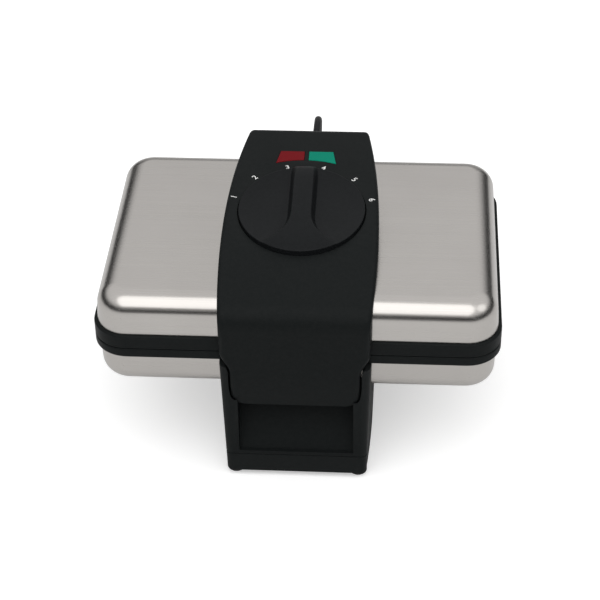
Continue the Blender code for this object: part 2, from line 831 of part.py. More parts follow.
def console_cover():
    """The band over the lid, with the flap that ends in the handle's tongue."""
    bottom = UPPER_RING_TOP + GAP
    cover = console_body("console_cover", 0.0, bottom)
    join(cover, flap_body("console_flap_outside", 0.0, FLAP_BACK_Y))
    cut(cover, console_body("console_hollow", CONSOLE_WALL, bottom - OVERRUN))
    cut(cover, flap_body("console_flap_hollow", CONSOLE_WALL, FLAP_BACK_Y + OVERRUN))
    cut(cover, seat_tool("console_pan_seat", upper_pan_loops(GAP), -OVERRUN))
    frame = knob_frame()
    outer = KNOB_RADIUS + KNOB_WELL_GAP
    floor = -KNOB_WELL_DEPTH
    below = floor - KNOB_WELL_FLOOR
    above = CONSOLE_TOP + KNOB_SKIRT
    skirt = outer + KNOB_WELL_FLOOR
    join(cover, rod("knob_well_wall", skirt, below, -KNOB_WELL_FLOOR, "black_plastic", frame, 40))
    cut(cover, rod("knob_well", outer, floor, above, "black_plastic", frame, 40))
    hole = SHAFT_RADIUS + SHAFT_HOLE_GAP
    cut(cover, rod("shaft_hole", hole, below - OVERRUN, above, "black_plastic", frame))
    for side in (-1, 1):
        cut(cover, lens_prism(f"lens_window_{side + 1}", side, 0.0, -OVERRUN, OVERRUN))
    for side in (-1, 1):
        frame = along_y((side * HANDLE_SCREW_X, 0, handle_screw_height()))
        start = FLAP_FRONT_Y + CONSOLE_WALL - GAP
        end = FLAP_BACK_Y - HANDLE_BACK_THICKNESS - GAP
        boss = f"handle_boss_{side + 1}"
        join(cover, rod(boss, PILLAR_RADIUS, start, end, "black_plastic", frame, SCREW_STEPS))
        bore = f"handle_boss_bore_{side + 1}"
        radius = SCREW_RADIUS + GAP
        start = start + CONSOLE_WALL / 2
        cut(cover, rod(bore, radius, start, end + OVERRUN, "black_plastic", frame, SCREW_STEPS))
    for number, (x, height) in enumerate(hinge_screw_places()):
        frame = along_y((x, CONSOLE_REAR_Y, height))
        bore = f"hinge_screw_bore_{number}"
        ends = (-OVERRUN, OVERRUN)
        radius = SCREW_RADIUS + GAP
        cut(cover, rod(bore, radius, *ends, "black_plastic", frame, SCREW_STEPS))
    return cover


def handle_screw_height():
    return UPPER_RING_TOP - HANDLE_SCREW_DROP


def handle_back():
    """The plate that closes the tongue behind, between the flap's side walls."""
    wall = CONSOLE_WALL + GAP
    top = UPPER_RING_TOP - HANDLE_BACK_TOP_DROP
    low = UPPER_RING_TOP - TONGUE_DROP + wall
    front = FLAP_BACK_Y - HANDLE_BACK_THICKNESS
    loops = []
    for height, half, _ in tongue_stations():
        height = min(max(height, low), top)
        if loops and height >= loops[-1][0][2]:
            continue
        half = half - wall
        section = [(-half, front), (half, front), (half, FLAP_BACK_Y), (-half, FLAP_BACK_Y)]
        loops.append([(x, y, height) for x, y in section])
    plate = loft("handle_back", loops, "black_plastic")
    for side in (-1, 1):
        frame = along_y((side * HANDLE_SCREW_X, 0, handle_screw_height()))
        ends = (front - OVERRUN, FLAP_BACK_Y + OVERRUN)
        hole = f"handle_back_hole_{side + 1}"
        cut(plate, rod(hole, SCREW_RADIUS + GAP, *ends, "black_plastic", frame, SCREW_STEPS))
        ends = (FLAP_BACK_Y - SCREW_HEAD - GAP, FLAP_BACK_Y + OVERRUN)
        sink = f"handle_back_sink_{side + 1}"
        cut(plate, rod(sink, SCREW_HEAD_RADIUS + GAP, *ends, "black_plastic", frame, SCREW_STEPS))
    return plate


def screw(name, frame, length=SCREW_LENGTH):
    """A pan-head screw: the head from 0 to SCREW_HEAD, the shank below 0."""
    profile = [
        (0, -length),
        (SCREW_RADIUS / 2, -length),
        (SCREW_RADIUS, -length + SCREW_RADIUS),
        (SCREW_RADIUS, 0),
        (SCREW_HEAD_RADIUS, 0),
        (SCREW_HEAD_RADIUS, SCREW_HEAD / 2),
        (SCREW_HEAD_RADIUS * 0.7, SCREW_HEAD),
        (0, SCREW_HEAD),
    ]
    return turned(name, profile, "zinc", frame, SCREW_STEPS)


def handle_screws():
    made = []
    for side, word in ((-1, "left"), (1, "right")):
        place = (side * HANDLE_SCREW_X, FLAP_BACK_Y - SCREW_HEAD, handle_screw_height())
        length = HANDLE_THICKNESS - CONSOLE_WALL - SCREW_HEAD - CONSOLE_WALL / 2 - 2 * GAP
        made.append(screw(f"handle_screw_{word}", along_y(place), length))
    return made


def lens_front_y():
    return KNOB_Y + math.sqrt(LENS_ARC_RADIUS**2 - LENS_FRONT_X**2)


def lens_frame():
    """A frame on the console's top at the lenses' rear edge, Y up its slope."""
    rise = console_height(LENS_REAR_Y) - console_height(lens_front_y())
    slope = math.atan(rise / (LENS_REAR_Y - lens_front_y()))
    place = (0, LENS_REAR_Y, console_height(LENS_REAR_Y))
    return Matrix.Translation(place) @ Matrix.Rotation(slope, 4, "X")


def lens_prism(name, side, clearance, low, high, finish="black_plastic"):
    """The bow-shaped lens outline beside the middle, from low up to high."""
    outline = [
        (LENS_MIDDLE_GAP + clearance, -clearance),
        (LENS_REAR_X - clearance, -clearance),
    ]
    steps = CORNER_STEPS
    for step in range(steps + 1):
        x = LENS_FRONT_X - clearance
        x += (LENS_MIDDLE_GAP - LENS_FRONT_X + 2 * clearance) * step / steps
        y = KNOB_Y + math.sqrt(LENS_ARC_RADIUS**2 - x**2) + clearance
        outline.append((x, y - LENS_REAR_Y))
    loops = [[(side * x, y, z) for x, y in outline] for z in (low, high)]
    return loft(name, loops, finish, lens_frame())


def lens(name, side, finish):
    """A lens that fills its window and stands on the lamp holder."""
    return lens_prism(name, side, GAP, LENS_PROUD - LENS_THICKNESS, LENS_PROUD, finish)


def lamp_holder():
    """A tray of two rooms under the lenses, with a lamp lying in each room."""
    top = LENS_PROUD - LENS_THICKNESS - GAP
    front = lens_front_y() - LENS_REAR_Y
    reach = LENS_FRONT_X
    low = (-reach, front, top - LAMP_HOLDER_DEPTH)
    holder = box("lamp_holder", low, (reach, 0, top), "phenolic", lens_frame())
    wall = LAMP_HOLDER_WALL
    floor = low[2] + wall
    for side in (-1, 1):
        ends = sorted((side * wall / 2, side * (reach - wall)))
        start = (ends[0], front + wall, floor)
        end = (ends[1], -wall, top + OVERRUN)
        cut(holder, box(f"lamp_room_{side + 1}", start, end, "phenolic", lens_frame()))
    return holder


def lamp(name, side):
    """A neon lamp lying on the holder's floor."""
    floor = LENS_PROUD - LENS_THICKNESS - GAP - LAMP_HOLDER_DEPTH + LAMP_HOLDER_WALL
    x = side * (LENS_MIDDLE_GAP + LENS_FRONT_X) / 2 - LAMP_LENGTH / 2
    place = (x, (lens_front_y() - LENS_REAR_Y) / 2, floor + LAMP_RADIUS + GAP)
    profile = [
        (0, 0),
        (LAMP_RADIUS * 0.6, 0),
        (LAMP_RADIUS, LAMP_RADIUS / 2),
        (LAMP_RADIUS, LAMP_LENGTH - LAMP_RADIUS),
        (LAMP_RADIUS * 0.6, LAMP_LENGTH - LAMP_RADIUS / 3),
        (0, LAMP_LENGTH),
    ]
    frame = lens_frame() @ along_x(place)
    return turned(name, profile, "lamp_glass", frame, SCREW_STEPS)


def knob_top(x, y):
    """Height of the knob's face over the console, in the knob's own frame."""
    reach = y / KNOB_RADIUS
    flare = max(0.0, 0.15 - reach) / 1.15
    half = KNOB_RIDGE_HALF_WIDTH + KNOB_RIDGE_FLARE * flare**1.8
    along = (1 + reach) / 2
    ridge = KNOB_RIDGE_FRONT_HEIGHT + (KNOB_RIDGE_HEIGHT - KNOB_RIDGE_FRONT_HEIGHT) * along**0.8
    side = (abs(x) - half) / (KNOB_RIDGE_HALF_WIDTH * 0.8)
    rise = min(max(1 - side, 0), 1)
    rise = rise * rise * (3 - 2 * rise)
    edge = math.hypot(x, y) / KNOB_RADIUS
    scoop = -KNOB_SCOOP * max(0.0, 1 - edge**3)
    return KNOB_RISE + scoop * (1 - rise) + ridge * rise * (1 - KNOB_RIDGE_END_FALL * edge**8)


def control_knob():
    """A disc with a pointer ridge that flares to the front, hollow below."""
    points = [(0, 0, knob_top(0, 0))]
    faces = []
    rows = [[0] * KNOB_SECTORS]
    for ring_number in range(1, KNOB_RINGS + 1):
        radius = KNOB_RADIUS * ring_number / KNOB_RINGS
        rows.append(list(range(len(points), len(points) + KNOB_SECTORS)))
        for step in range(KNOB_SECTORS):
            angle = math.tau * step / KNOB_SECTORS
            x = radius * math.cos(angle)
            y = radius * math.sin(angle)
            points.append((x, y, knob_top(x, y)))
    skirt = -KNOB_SKIRT
    inner = KNOB_RADIUS - KNOB_WALL
    bore = SHAFT_RADIUS + GAP
    roof = KNOB_RISE - KNOB_SCOOP - KNOB_ROOF
    hub = (
        (KNOB_RADIUS, skirt),
        (inner, skirt),
        (inner, roof),
        (KNOB_HUB_RADIUS, roof),
        (KNOB_HUB_RADIUS, skirt),
        (bore, skirt),
        (bore, KNOB_RISE),
    )
    for radius, height in hub:
        rows.append(list(range(len(points), len(points) + KNOB_SECTORS)))
        for step in range(KNOB_SECTORS):
            angle = math.tau * step / KNOB_SECTORS
            points.append((radius * math.cos(angle), radius * math.sin(angle), height))
    for lower, upper in zip(rows, rows[1:]):
        for step in range(KNOB_SECTORS):
            after = (step + 1) % KNOB_SECTORS
            corners = (lower[step], lower[after], upper[after], upper[step])
            faces.append(tuple(dict.fromkeys(corners)))
    faces.append(tuple(rows[-1]))
    return mesh_from("control_knob", points, faces, "knob_plastic", knob_frame())


def thermostat_top():
    """Height of the thermostat's body along the knob's axis."""
    return -KNOB_WELL_DEPTH - KNOB_WELL_FLOOR - THERMOSTAT_NECK - BRACKET_SHEET - 2 * GAP


def thermostat_shaft():
    low = thermostat_top() + GAP
    high = KNOB_RISE - GAP
    flat = SHAFT_RADIUS * 0.6
    shaft = rod("thermostat_shaft", SHAFT_RADIUS, low, high, "zinc", knob_frame())
    tool_low = (-SHAFT_RADIUS * 2, flat, -KNOB_SKIRT)
    tool_high = (SHAFT_RADIUS * 2, SHAFT_RADIUS * 2, high + OVERRUN)
    cut(shaft, box("shaft_flat", tool_low, tool_high, "zinc", knob_frame()))
    return shaft


def knob_clip():
    """A sprung ring round the knob's hub."""
    inner = KNOB_HUB_RADIUS + GAP
    outer = inner + KNOB_CLIP_WALL
    low = -KNOB_SKIRT
    high = KNOB_RISE - KNOB_SCOOP - KNOB_ROOF - GAP
    profile = [(inner, low), (outer, low), (outer, high), (inner, high)]
    return turned_ring("knob_clip", profile, "zinc", knob_frame())


def thermostat_body():
    top = thermostat_top()
    half_x = THERMOSTAT_WIDTH / 2
    half_y = THERMOSTAT_DEPTH / 2
    low = (-half_x, -half_y, top - THERMOSTAT_HEIGHT)
    return box("thermostat_body", low, (half_x, half_y, top), "ceramic", knob_frame())


def thermostat_bracket():
    """A strap under the knob's well that holds the thermostat by its top."""
    low = thermostat_top() + GAP
    high = low + BRACKET_SHEET
    half = BRACKET_WIDTH / 2
    deep = THERMOSTAT_DEPTH / 2
    frame = knob_frame()
    strap = box("thermostat_bracket", (-half, -deep, low), (half, deep, high), "zinc", frame)
    under_well = -KNOB_WELL_DEPTH - KNOB_WELL_FLOOR - GAP
    for side in (-1, 1):
        ends = sorted((side * half, side * (half - BRACKET_FOOT)))
        start = (ends[0], -deep, high - GAP)
        foot = f"bracket_foot_{side + 1}"
        join(strap, box(foot, start, (ends[1], deep, under_well), "zinc", frame))
    hole = SHAFT_RADIUS + SHAFT_HOLE_GAP
    cut(strap, rod("bracket_hole", hole, low - OVERRUN, high + OVERRUN, "zinc", frame))
    return strap


def reflector_screws():
    """Two short screws through the upper reflector into the plate's bosses."""
    face = UPPER_RING_BOTTOM
    far = element_middle(face, -1) + ELEMENT_RADIUS + 2 * GAP + REFLECTOR_SHEET
    made = []
    for word, y in (("front", PILLAR_FRONT_Y), ("rear", PILLAR_REAR_Y)):
        frame = Matrix.Translation((0, y, far))
        made.append(screw(f"reflector_screw_{word}", frame, 2 * ELEMENT_RADIUS))
    return made


def thermal_fuse():
    """A fuse lying on the upper plate's back."""
    floor = UPPER_RING_BOTTOM + CAVITY_DEPTH + PLATE_FLOOR + GAP
    frame = along_x((-FUSE_LENGTH / 2, FUSE_Y, floor + FUSE_RADIUS))
    return rod("thermal_fuse", FUSE_RADIUS, 0, FUSE_LENGTH, "ceramic", frame, SCREW_STEPS)


def fuse_clip():
    """A strap over the fuse, with its feet on the plate."""
    floor = UPPER_RING_BOTTOM + CAVITY_DEPTH + PLATE_FLOOR + GAP
    inner = FUSE_RADIUS + GAP
    outer = inner + FUSE_CLIP_SHEET
    foot = outer + FUSE_CLIP_FOOT
    half = FUSE_CLIP_WIDTH / 2
    top = floor + FUSE_RADIUS + inner
    outline = [
        (-foot, floor),
        (-inner, floor),
        (-inner, top),
        (inner, top),
        (inner, floor),
        (foot, floor),
        (foot, floor + FUSE_CLIP_SHEET),
        (outer, floor + FUSE_CLIP_SHEET),
        (outer, top + FUSE_CLIP_SHEET),
        (-outer, top + FUSE_CLIP_SHEET),
        (-outer, floor + FUSE_CLIP_SHEET),
        (-foot, floor + FUSE_CLIP_SHEET),
    ]
    loops = [[(x, FUSE_Y + y, z) for y, z in outline] for x in (-half, half)]
    return loft("fuse_clip", loops, "zinc")


def stand_share(height):
    """The stand's width at a height, as a share of the black band's."""
    rise = (height - STAND_BOTTOM) / (LOWER_RING_BOTTOM - STAND_BOTTOM)
    return STAND_TAPER_SHARE + (1 - STAND_TAPER_SHARE) * rise


def stand_loop(height, inset):
    """The stand's outline at a height, drawn in by inset."""
    share = stand_share(height)
    front = STAND_FRONT_Y + inset
    rear = TOWER_REAR_Y - inset
    corner = max(STAND_CORNER - inset, GAP)
    side = []
    steps = CORNER_STEPS // 2
    half = band_half(front + corner) * share - inset
    for step in range(steps + 1):
        angle = math.radians(90) * (step / steps - 1)
        x = half - corner + corner * math.cos(angle)
        side.append((x, front + corner + corner * math.sin(angle)))
    for step in range(1, CONSOLE_STEPS):
        y = front + corner + (rear - front - 2 * corner) * step / CONSOLE_STEPS
        side.append((band_half(y) * share - inset, y))
    half = band_half(rear - corner) * share - inset
    for step in range(steps + 1):
        angle = math.radians(90) * step / steps
        x = half - corner + corner * math.cos(angle)
        side.append((x, rear - corner + corner * math.sin(angle)))
    loop = side + [(-x, y) for x, y in reversed(side)]
    return [(x, y, height) for x, y in loop]


def foot_places():
    """(name, x, y) of each foot, flush with the stand's sides."""
    places = []
    rows = (
        ("front", STAND_FRONT_Y + FOOT_INSET),
        ("rear", TOWER_REAR_Y - REAR_FOOT_INSET),
    )
    for row, y in rows:
        x = band_half(y) * STAND_TAPER_SHARE - FOOT_RADIUS
        places += [(f"foot_{row}_left", -x, y), (f"foot_{row}_right", x, y)]
    return places


def pillar_places():
    ends = (PILLAR_FRONT_Y, PILLAR_REAR_Y)
    return [(side * PILLAR_X, y) for y in ends for side in (-1, 1)]


def recess_tool(name, grow):
    """The finger recess in the stand's front, grown by grow behind its walls."""
    half = RECESS_HALF_WIDTH + grow
    sill = STAND_BOTTOM + RECESS_SILL - grow
    front = STAND_FRONT_Y - OVERRUN if grow == 0 else STAND_FRONT_Y + STAND_WALL / 2
    top = PAN_BOTTOM + (OVERRUN if grow == 0 else -STAND_WALL)
    outline = [
        (front, sill),
        (STAND_FRONT_Y + RECESS_DEPTH_SILL + grow, sill),
        (STAND_FRONT_Y + RECESS_DEPTH_TOP + grow, top),
        (front, top),
    ]
    loops = [[(x, y, z) for y, z in outline] for x in (-half, half)]
    return loft(name, loops, "black_plastic")


def deck_underside():
    return PAN_BOTTOM - GAP - STAND_WALL


def tower_ear(name, side):
    """One upright of the tower that holds the hinge pin."""
    frame = along_x((0, HINGE_Y, HINGE_Z))
    ends = sorted((side * EAR_INNER_X, side * EAR_OUTER_X))
    return rod(name, BARREL_RADIUS, *ends, "black_plastic", frame)


def tower_tools():
    """Solids that raise the tower behind the rings, with the pin's two ears."""
    front = RING_DEPTH / 2 + TOWER_FRONT_GAP
    low = LOWER_RING_BOTTOM - STAND_CORNER
    top = HINGE_Z - BARREL_RADIUS - GAP - TOWER_TOP_GAP
    solids = []
    start = (-EAR_OUTER_X, front, low)
    solids.append(box("tower", start, (EAR_OUTER_X, TOWER_REAR_Y, top), "black_plastic"))
    for side in (-1, 1):
        ends = sorted((side * EAR_INNER_X, side * EAR_OUTER_X))
        start = (ends[0], front, top - OVERRUN)
        end = (ends[1], TOWER_REAR_Y, HINGE_Z)
        solids.append(box(f"tower_upright_{side + 1}", start, end, "black_plastic"))
        solids.append(tower_ear(f"tower_ear_{side + 1}", side))
    return solids


def stand_shell():
    """The stand with its hollow, finger recess, deck, pillars and rear tower."""
    top = LOWER_RING_BOTTOM - CHEEK_TOP_GAP
    split = STAND_BOTTOM + TRAY_HEIGHT
    loops = [stand_loop(split + GAP, 0), stand_loop(top, 0)]
    shell = loft("stand_shell", loops, "black_plastic")
    deck = deck_underside()
    loops = [stand_loop(split - OVERRUN, STAND_WALL), stand_loop(deck, STAND_WALL)]
    cut(shell, loft("stand_hollow", loops, "black_plastic"))
    join(shell, recess_tool("recess_wall", STAND_WALL))
    join(shell, *tower_tools())
    cut(shell, recess_tool("recess", 0))
    cut(shell, seat_tool("pan_seat", lower_pan_loops(GAP), OVERRUN))
    cut(shell, flap_body("tongue_space", -SLIDE_GAP, FLAP_BACK_Y + 2 * OVERRUN))
    front = RING_DEPTH / 2 + TOWER_FRONT_GAP
    start = (-EAR_INNER_X, front + TOWER_WALL, deck - OVERRUN)
    end_z = HINGE_Z - BARREL_RADIUS - TOWER_WALL - OVERRUN
    end = (EAR_INNER_X, TOWER_REAR_Y - TOWER_WALL, end_z)
    cut(shell, box("tower_hollow", start, end, "black_plastic"))
    floor = STAND_BOTTOM + TRAY_FLOOR + GAP
    for number, (x, y) in enumerate(pillar_places()):
        frame = Matrix.Translation((x, y, 0))
        ends = (floor, deck + STAND_WALL / 2)
        name = f"stand_pillar_{number}"
        join(shell, rod(name, PILLAR_RADIUS, *ends, "black_plastic", frame, SCREW_STEPS))
        ends = (floor - OVERRUN, floor + SCREW_LENGTH + GAP)
        name = f"stand_pillar_bore_{number}"
        cut(shell, rod(name, SCREW_RADIUS + GAP, *ends, "black_plastic", frame, SCREW_STEPS))
    for number, y in enumerate((PILLAR_FRONT_Y, PILLAR_REAR_Y)):
        frame = Matrix.Translation((0, y, PAN_BOTTOM))
        name = f"deck_screw_hole_{number}"
        radius = SCREW_RADIUS + GAP
        cut(shell, rod(name, radius, -OVERRUN, OVERRUN, "black_plastic", frame, SCREW_STEPS))
    frame = Matrix.Translation((0, TERMINAL_Y, PAN_BOTTOM))
    cut(shell, rod("deck_wire_hole", PILLAR_RADIUS, -OVERRUN, OVERRUN, "black_plastic", frame))
    frame = along_x((0, HINGE_Y, HINGE_Z))
    reach = EAR_OUTER_X + OVERRUN
    cut(shell, rod("ear_bore", PIN_RADIUS + GAP, -reach, reach, "black_plastic", frame))
    frame = along_y((0, TOWER_REAR_Y, cord_exit_height()))
    radius = BOOT_NECK_RADIUS + GAP
    ends = (-TOWER_WALL - OVERRUN / 2, OVERRUN)
    cut(shell, rod("cord_hole", radius, *ends, "black_plastic", frame))
    return shell


def base_tray():
    """The tray that closes the stand below, flush with its walls."""
    top = STAND_BOTTOM + TRAY_HEIGHT
    floor = STAND_BOTTOM + TRAY_FLOOR
    tray = loft("base_tray", [stand_loop(STAND_BOTTOM, 0), stand_loop(top, 0)], "black_plastic")
    loops = [stand_loop(floor, STAND_WALL), stand_loop(top + OVERRUN, STAND_WALL)]
    cut(tray, loft("base_tray_hollow", loops, "black_plastic"))
    ends = (STAND_BOTTOM - OVERRUN, floor + OVERRUN)
    for number, (x, y) in enumerate(pillar_places()):
        frame = Matrix.Translation((x, y, 0))
        name = f"base_tray_hole_{number}"
        cut(tray, rod(name, SCREW_RADIUS + GAP, *ends, "black_plastic", frame, SCREW_STEPS))
    for name, x, y in foot_places():
        frame = Matrix.Translation((x, y, 0))
        radius = FOOT_STUD_RADIUS + GAP
        cut(tray, rod(f"{name}_hole", radius, *ends, "black_plastic", frame))
    return tray


def downward(place):
    """A frame whose Z runs down, from place."""
    return Matrix.Translation(place) @ Matrix.Rotation(math.pi, 4, "X")


def base_screws():
    made = []
    for number, (x, y) in enumerate(pillar_places(), 1):
        made.append(screw(f"base_screw_{number}", downward((x, y, STAND_BOTTOM - GAP))))
    return made


def stand_screws():
    """Two long screws from the stand's deck up into the lower plate's bosses."""
    head = deck_underside() - GAP
    tip = LOWER_RING_TOP - CAVITY_DEPTH - PLATE_FLOOR - GAP
    made = []
    for word, y in (("front", PILLAR_FRONT_Y), ("rear", PILLAR_REAR_Y)):
        made.append(screw(f"stand_screw_{word}", downward((0, y, head)), tip - head - GAP))
    return made


def foot(name, x, y):
    """A rubber foot with a stud that plugs into the stand."""
    shoulder = STAND_BOTTOM - GAP
    profile = [
        (FOOT_RADIUS * 0.92, 0),
        (FOOT_RADIUS, shoulder / 4),
        (FOOT_RADIUS, shoulder),
        (FOOT_STUD_RADIUS, shoulder),
        (FOOT_STUD_RADIUS, shoulder + FOOT_STUD),
    ]
    return turned(name, profile, "rubber", Matrix.Translation((x, y, 0)))


def terminal_block():
    floor = STAND_BOTTOM + TRAY_FLOOR + GAP
    half = TERMINAL_WIDTH / 2
    deep = TERMINAL_DEPTH / 2
    low = (-half, TERMINAL_Y - deep, floor)
    high = (half, TERMINAL_Y + deep, floor + TERMINAL_HEIGHT)
    block = box("terminal_block", low, high, "ceramic")
    for number, share in enumerate((-1, 0, 1)):
        x = share * TERMINAL_WIDTH / 3
        frame = along_y((x, TERMINAL_Y, floor + TERMINAL_HEIGHT / 2))
        reach = deep + OVERRUN
        name = f"terminal_hole_{number}"
        tool = rod(name, TERMINAL_HOLE_RADIUS, -reach, reach, "ceramic", frame, SCREW_STEPS)
        cut(block, tool)
    return block


def hinge_pin():
    """A headed pin through both ears and both knuckles."""
    reach = EAR_OUTER_X + GAP
    profile = [
        (PIN_HEAD_RADIUS, -reach - PIN_HEAD),
        (PIN_HEAD_RADIUS, -reach),
        (PIN_RADIUS, -reach),
        (PIN_RADIUS, reach + PIN_HEAD),
    ]
    return turned("hinge_pin", profile, "zinc", along_x((0, HINGE_Y, HINGE_Z)))


def hinge_screw_places():
    height = HINGE_Z + BARREL_RADIUS + GAP + HINGE_PLATE_HEIGHT / 2
    return [(side * HINGE_SCREW_X, height) for side in (-1, 1)]


def hinge_bracket():
    """The lid's hinge half: a plate on the console's rear with two knuckles."""
    near = CONSOLE_REAR_Y + GAP
    far = near + HINGE_PLATE
    low = HINGE_Z + BARREL_RADIUS + GAP
    outer = EAR_INNER_X - GAP
    end = (outer, far, low + HINGE_PLATE_HEIGHT)
    bracket = box("hinge_bracket", (-outer, near, low), end, "zinc")
    frame = along_x((0, HINGE_Y, HINGE_Z))
    for side in (-1, 1):
        ends = sorted((side * outer, side * (outer - KNUCKLE_WIDTH)))
        knuckle = rod(f"knuckle_{side + 1}", BARREL_RADIUS, *ends, "zinc", frame)
        end = (ends[1], far - GAP, low + OVERRUN)
        start = (ends[0], near + GAP, HINGE_Z)
        web = box(f"knuckle_web_{side + 1}", start, end, "zinc")
        join(bracket, web, knuckle)
    bore = PIN_RADIUS + GAP
    cut(bracket, rod("knuckle_bore", bore, -EAR_OUTER_X, EAR_OUTER_X, "zinc", frame))
    for number, (x, height) in enumerate(hinge_screw_places()):
        frame = along_y((x, far, height))
        name = f"hinge_bracket_hole_{number}"
        reach = (-OVERRUN, OVERRUN)
        cut(bracket, rod(name, SCREW_RADIUS + GAP, *reach, "zinc", frame, SCREW_STEPS))
    return bracket


def hinge_screws():
    made = []
    back = CONSOLE_REAR_Y + HINGE_PLATE + 2 * GAP
    for word, (x, height) in zip(("left", "right"), hinge_screw_places()):
        made.append(screw(f"hinge_screw_{word}", along_y((x, back, height)), HINGE_SCREW_LENGTH))
    return made


def cord_exit_height():
    return UPPER_RING_TOP - CORD_EXIT_DROP


def strain_relief():
    """The boot on the tower's rear wall, with its neck through the wall."""
    frame = along_y((0, TOWER_REAR_Y + GAP, cord_exit_height()))
    bore = CORD_RADIUS + GAP
    inside = -TOWER_WALL - 2 * GAP
    profile = [
        (bore, inside),
        (BOOT_NECK_RADIUS, inside),
        (BOOT_NECK_RADIUS, 0),
        (BOOT_FLANGE_RADIUS, 0),
        (BOOT_FLANGE_RADIUS, BOOT_FLANGE),
        (BOOT_ROOT_RADIUS, BOOT_FLANGE),
        (BOOT_TIP_RADIUS, BOOT_LENGTH),
        (bore, BOOT_LENGTH),
    ]
    return turned_ring("strain_relief", profile, "rubber", frame)


def smooth_route(points, spacing):
    """A smooth curve through hand-chosen points, read at an even spacing."""
    points = [Vector(point) for point in points]
    ends = [points[0] * 2 - points[1]] + points + [points[-1] * 2 - points[-2]]
    fine = []
    for before, first, second, after in zip(ends, ends[1:], ends[2:], ends[3:]):
        for step in range(CORD_SAMPLES):
            t = step / CORD_SAMPLES
            straight = 2 * first + (second - before) * t
            bend = (2 * before - 5 * first + 4 * second - after) * t**2
            twist = (3 * first - before - 3 * second + after) * t**3
            fine.append((straight + bend + twist) / 2)
    fine.append(points[-1])
    lengths = [0.0]
    for first, second in zip(fine, fine[1:]):
        lengths.append(lengths[-1] + (second - first).length)
    count = round(lengths[-1] / spacing)
    even = []
    place = 0
    for step in range(count + 1):
        goal = lengths[-1] * step / count
        while place < len(fine) - 2 and lengths[place + 1] < goal:
            place += 1
        share = (goal - lengths[place]) / (lengths[place + 1] - lengths[place])
        even.append(fine[place].lerp(fine[place + 1], share))
    return even


def cord_route():
    """Points that the free cord follows from the boot to the coil."""
    exit_z = cord_exit_height()
    lay = coil_height()
    start = TOWER_REAR_Y + BOOT_LENGTH + 2 * GAP
    end_x = COIL_X + 2 * CORD_RADIUS + GAP
    end_y = COIL_Y + COIL_RADIUS
    return [
        (0.0, start, exit_z),
        (0.0, start + 2 * CORD_RADIUS, exit_z),
        *CORD_ROUTE,
        (end_x + 2 * CORD_RADIUS, end_y, lay),
        (end_x, end_y, lay),
    ]


def coil_height():
    """Height of the cord's middle in the coil's lowest layer."""
    return TIE_SHEET + 2 * GAP + CORD_RADIUS


def coil_points():
    """One tube: in to the reversal and out again, a layer higher, then the tail."""
    low = coil_height()
    points = [Vector((COIL_X + 2 * CORD_RADIUS, COIL_Y + COIL_RADIUS, low))]
    steps = round(COIL_TURNS * COIL_STEPS)
    half = COIL_TURNS / 2
    for step in range(steps + 1):
        turn = step / COIL_STEPS
        radius = COIL_RADIUS - COIL_PITCH * (half - abs(turn - half))
        climb = min(max((turn - half) * 2 + 0.5, 0), 1)
        climb = climb * climb * (3 - 2 * climb)
        angle = math.tau * turn + math.radians(90)
        x = COIL_X + radius * math.cos(angle)
        y = COIL_Y + radius * math.sin(angle)
        points.append(Vector((x, y, low + COIL_LAYER * climb)))
    start = points[-1]
    rise = PLUG_AXIS_HEIGHT - start.z
    for share in TAIL_SHARES:
        ease = min(max((share - TAIL_SHARES[0]) / (TAIL_SHARES[-2] - TAIL_SHARES[0]), 0), 1)
        ease = ease * ease * (3 - 2 * ease)
        points.append(start + Vector((COIL_TAIL * share, 0, rise * ease)))
    return points


def least_self_gap(points, radius):
    """Least space between parts of a tube that lie apart along it."""
    dense = []
    for first, second in zip(points, points[1:]):
        dense += [first.lerp(second, step / 4) for step in range(4)]
    reach = math.tau * radius * 2
    lengths = [0.0]
    for first, second in zip(dense, dense[1:]):
        lengths.append(lengths[-1] + (second - first).length)
    least = reach
    for number, point in enumerate(dense):
        for other in range(number + 1, len(dense)):
            if lengths[other] - lengths[number] > reach:
                least = min(least, (dense[other] - point).length - 2 * radius)
    return least


def cord_coil():
    points = coil_points()
    print(f"coil self gap {least_self_gap(points, CORD_RADIUS) * 1000:.2f} mm")
    return wire("cord_coil", points, CORD_RADIUS, "cord", 1)


def cord_tie():
    """A flat band round the coil's turns, opposite the plug's end."""
    inner = COIL_RADIUS - COIL_PITCH * COIL_TURNS / 2 - CORD_RADIUS - GAP
    outer = COIL_RADIUS + CORD_RADIUS + GAP
    low = coil_height() - CORD_RADIUS - GAP
    high = coil_height() + COIL_LAYER + CORD_RADIUS + GAP
    left = COIL_X - outer
    right = COIL_X - inner
    sheet = TIE_SHEET
    loops = []
    for grow, y in ((sheet, -1), (sheet, 1), (0, 1), (0, -1)):
        place = COIL_Y + y * TIE_WIDTH / 2
        corners = (
            (left - grow, low - grow),
            (right + grow, low - grow),
            (right + grow, high + grow),
            (left - grow, high + grow),
        )
        loops.append([(x, place, z) for x, z in corners])
    return loft("cord_tie", loops, "rubber", ring=True)


def plug_start_x():
    return COIL_X + COIL_TAIL + GAP


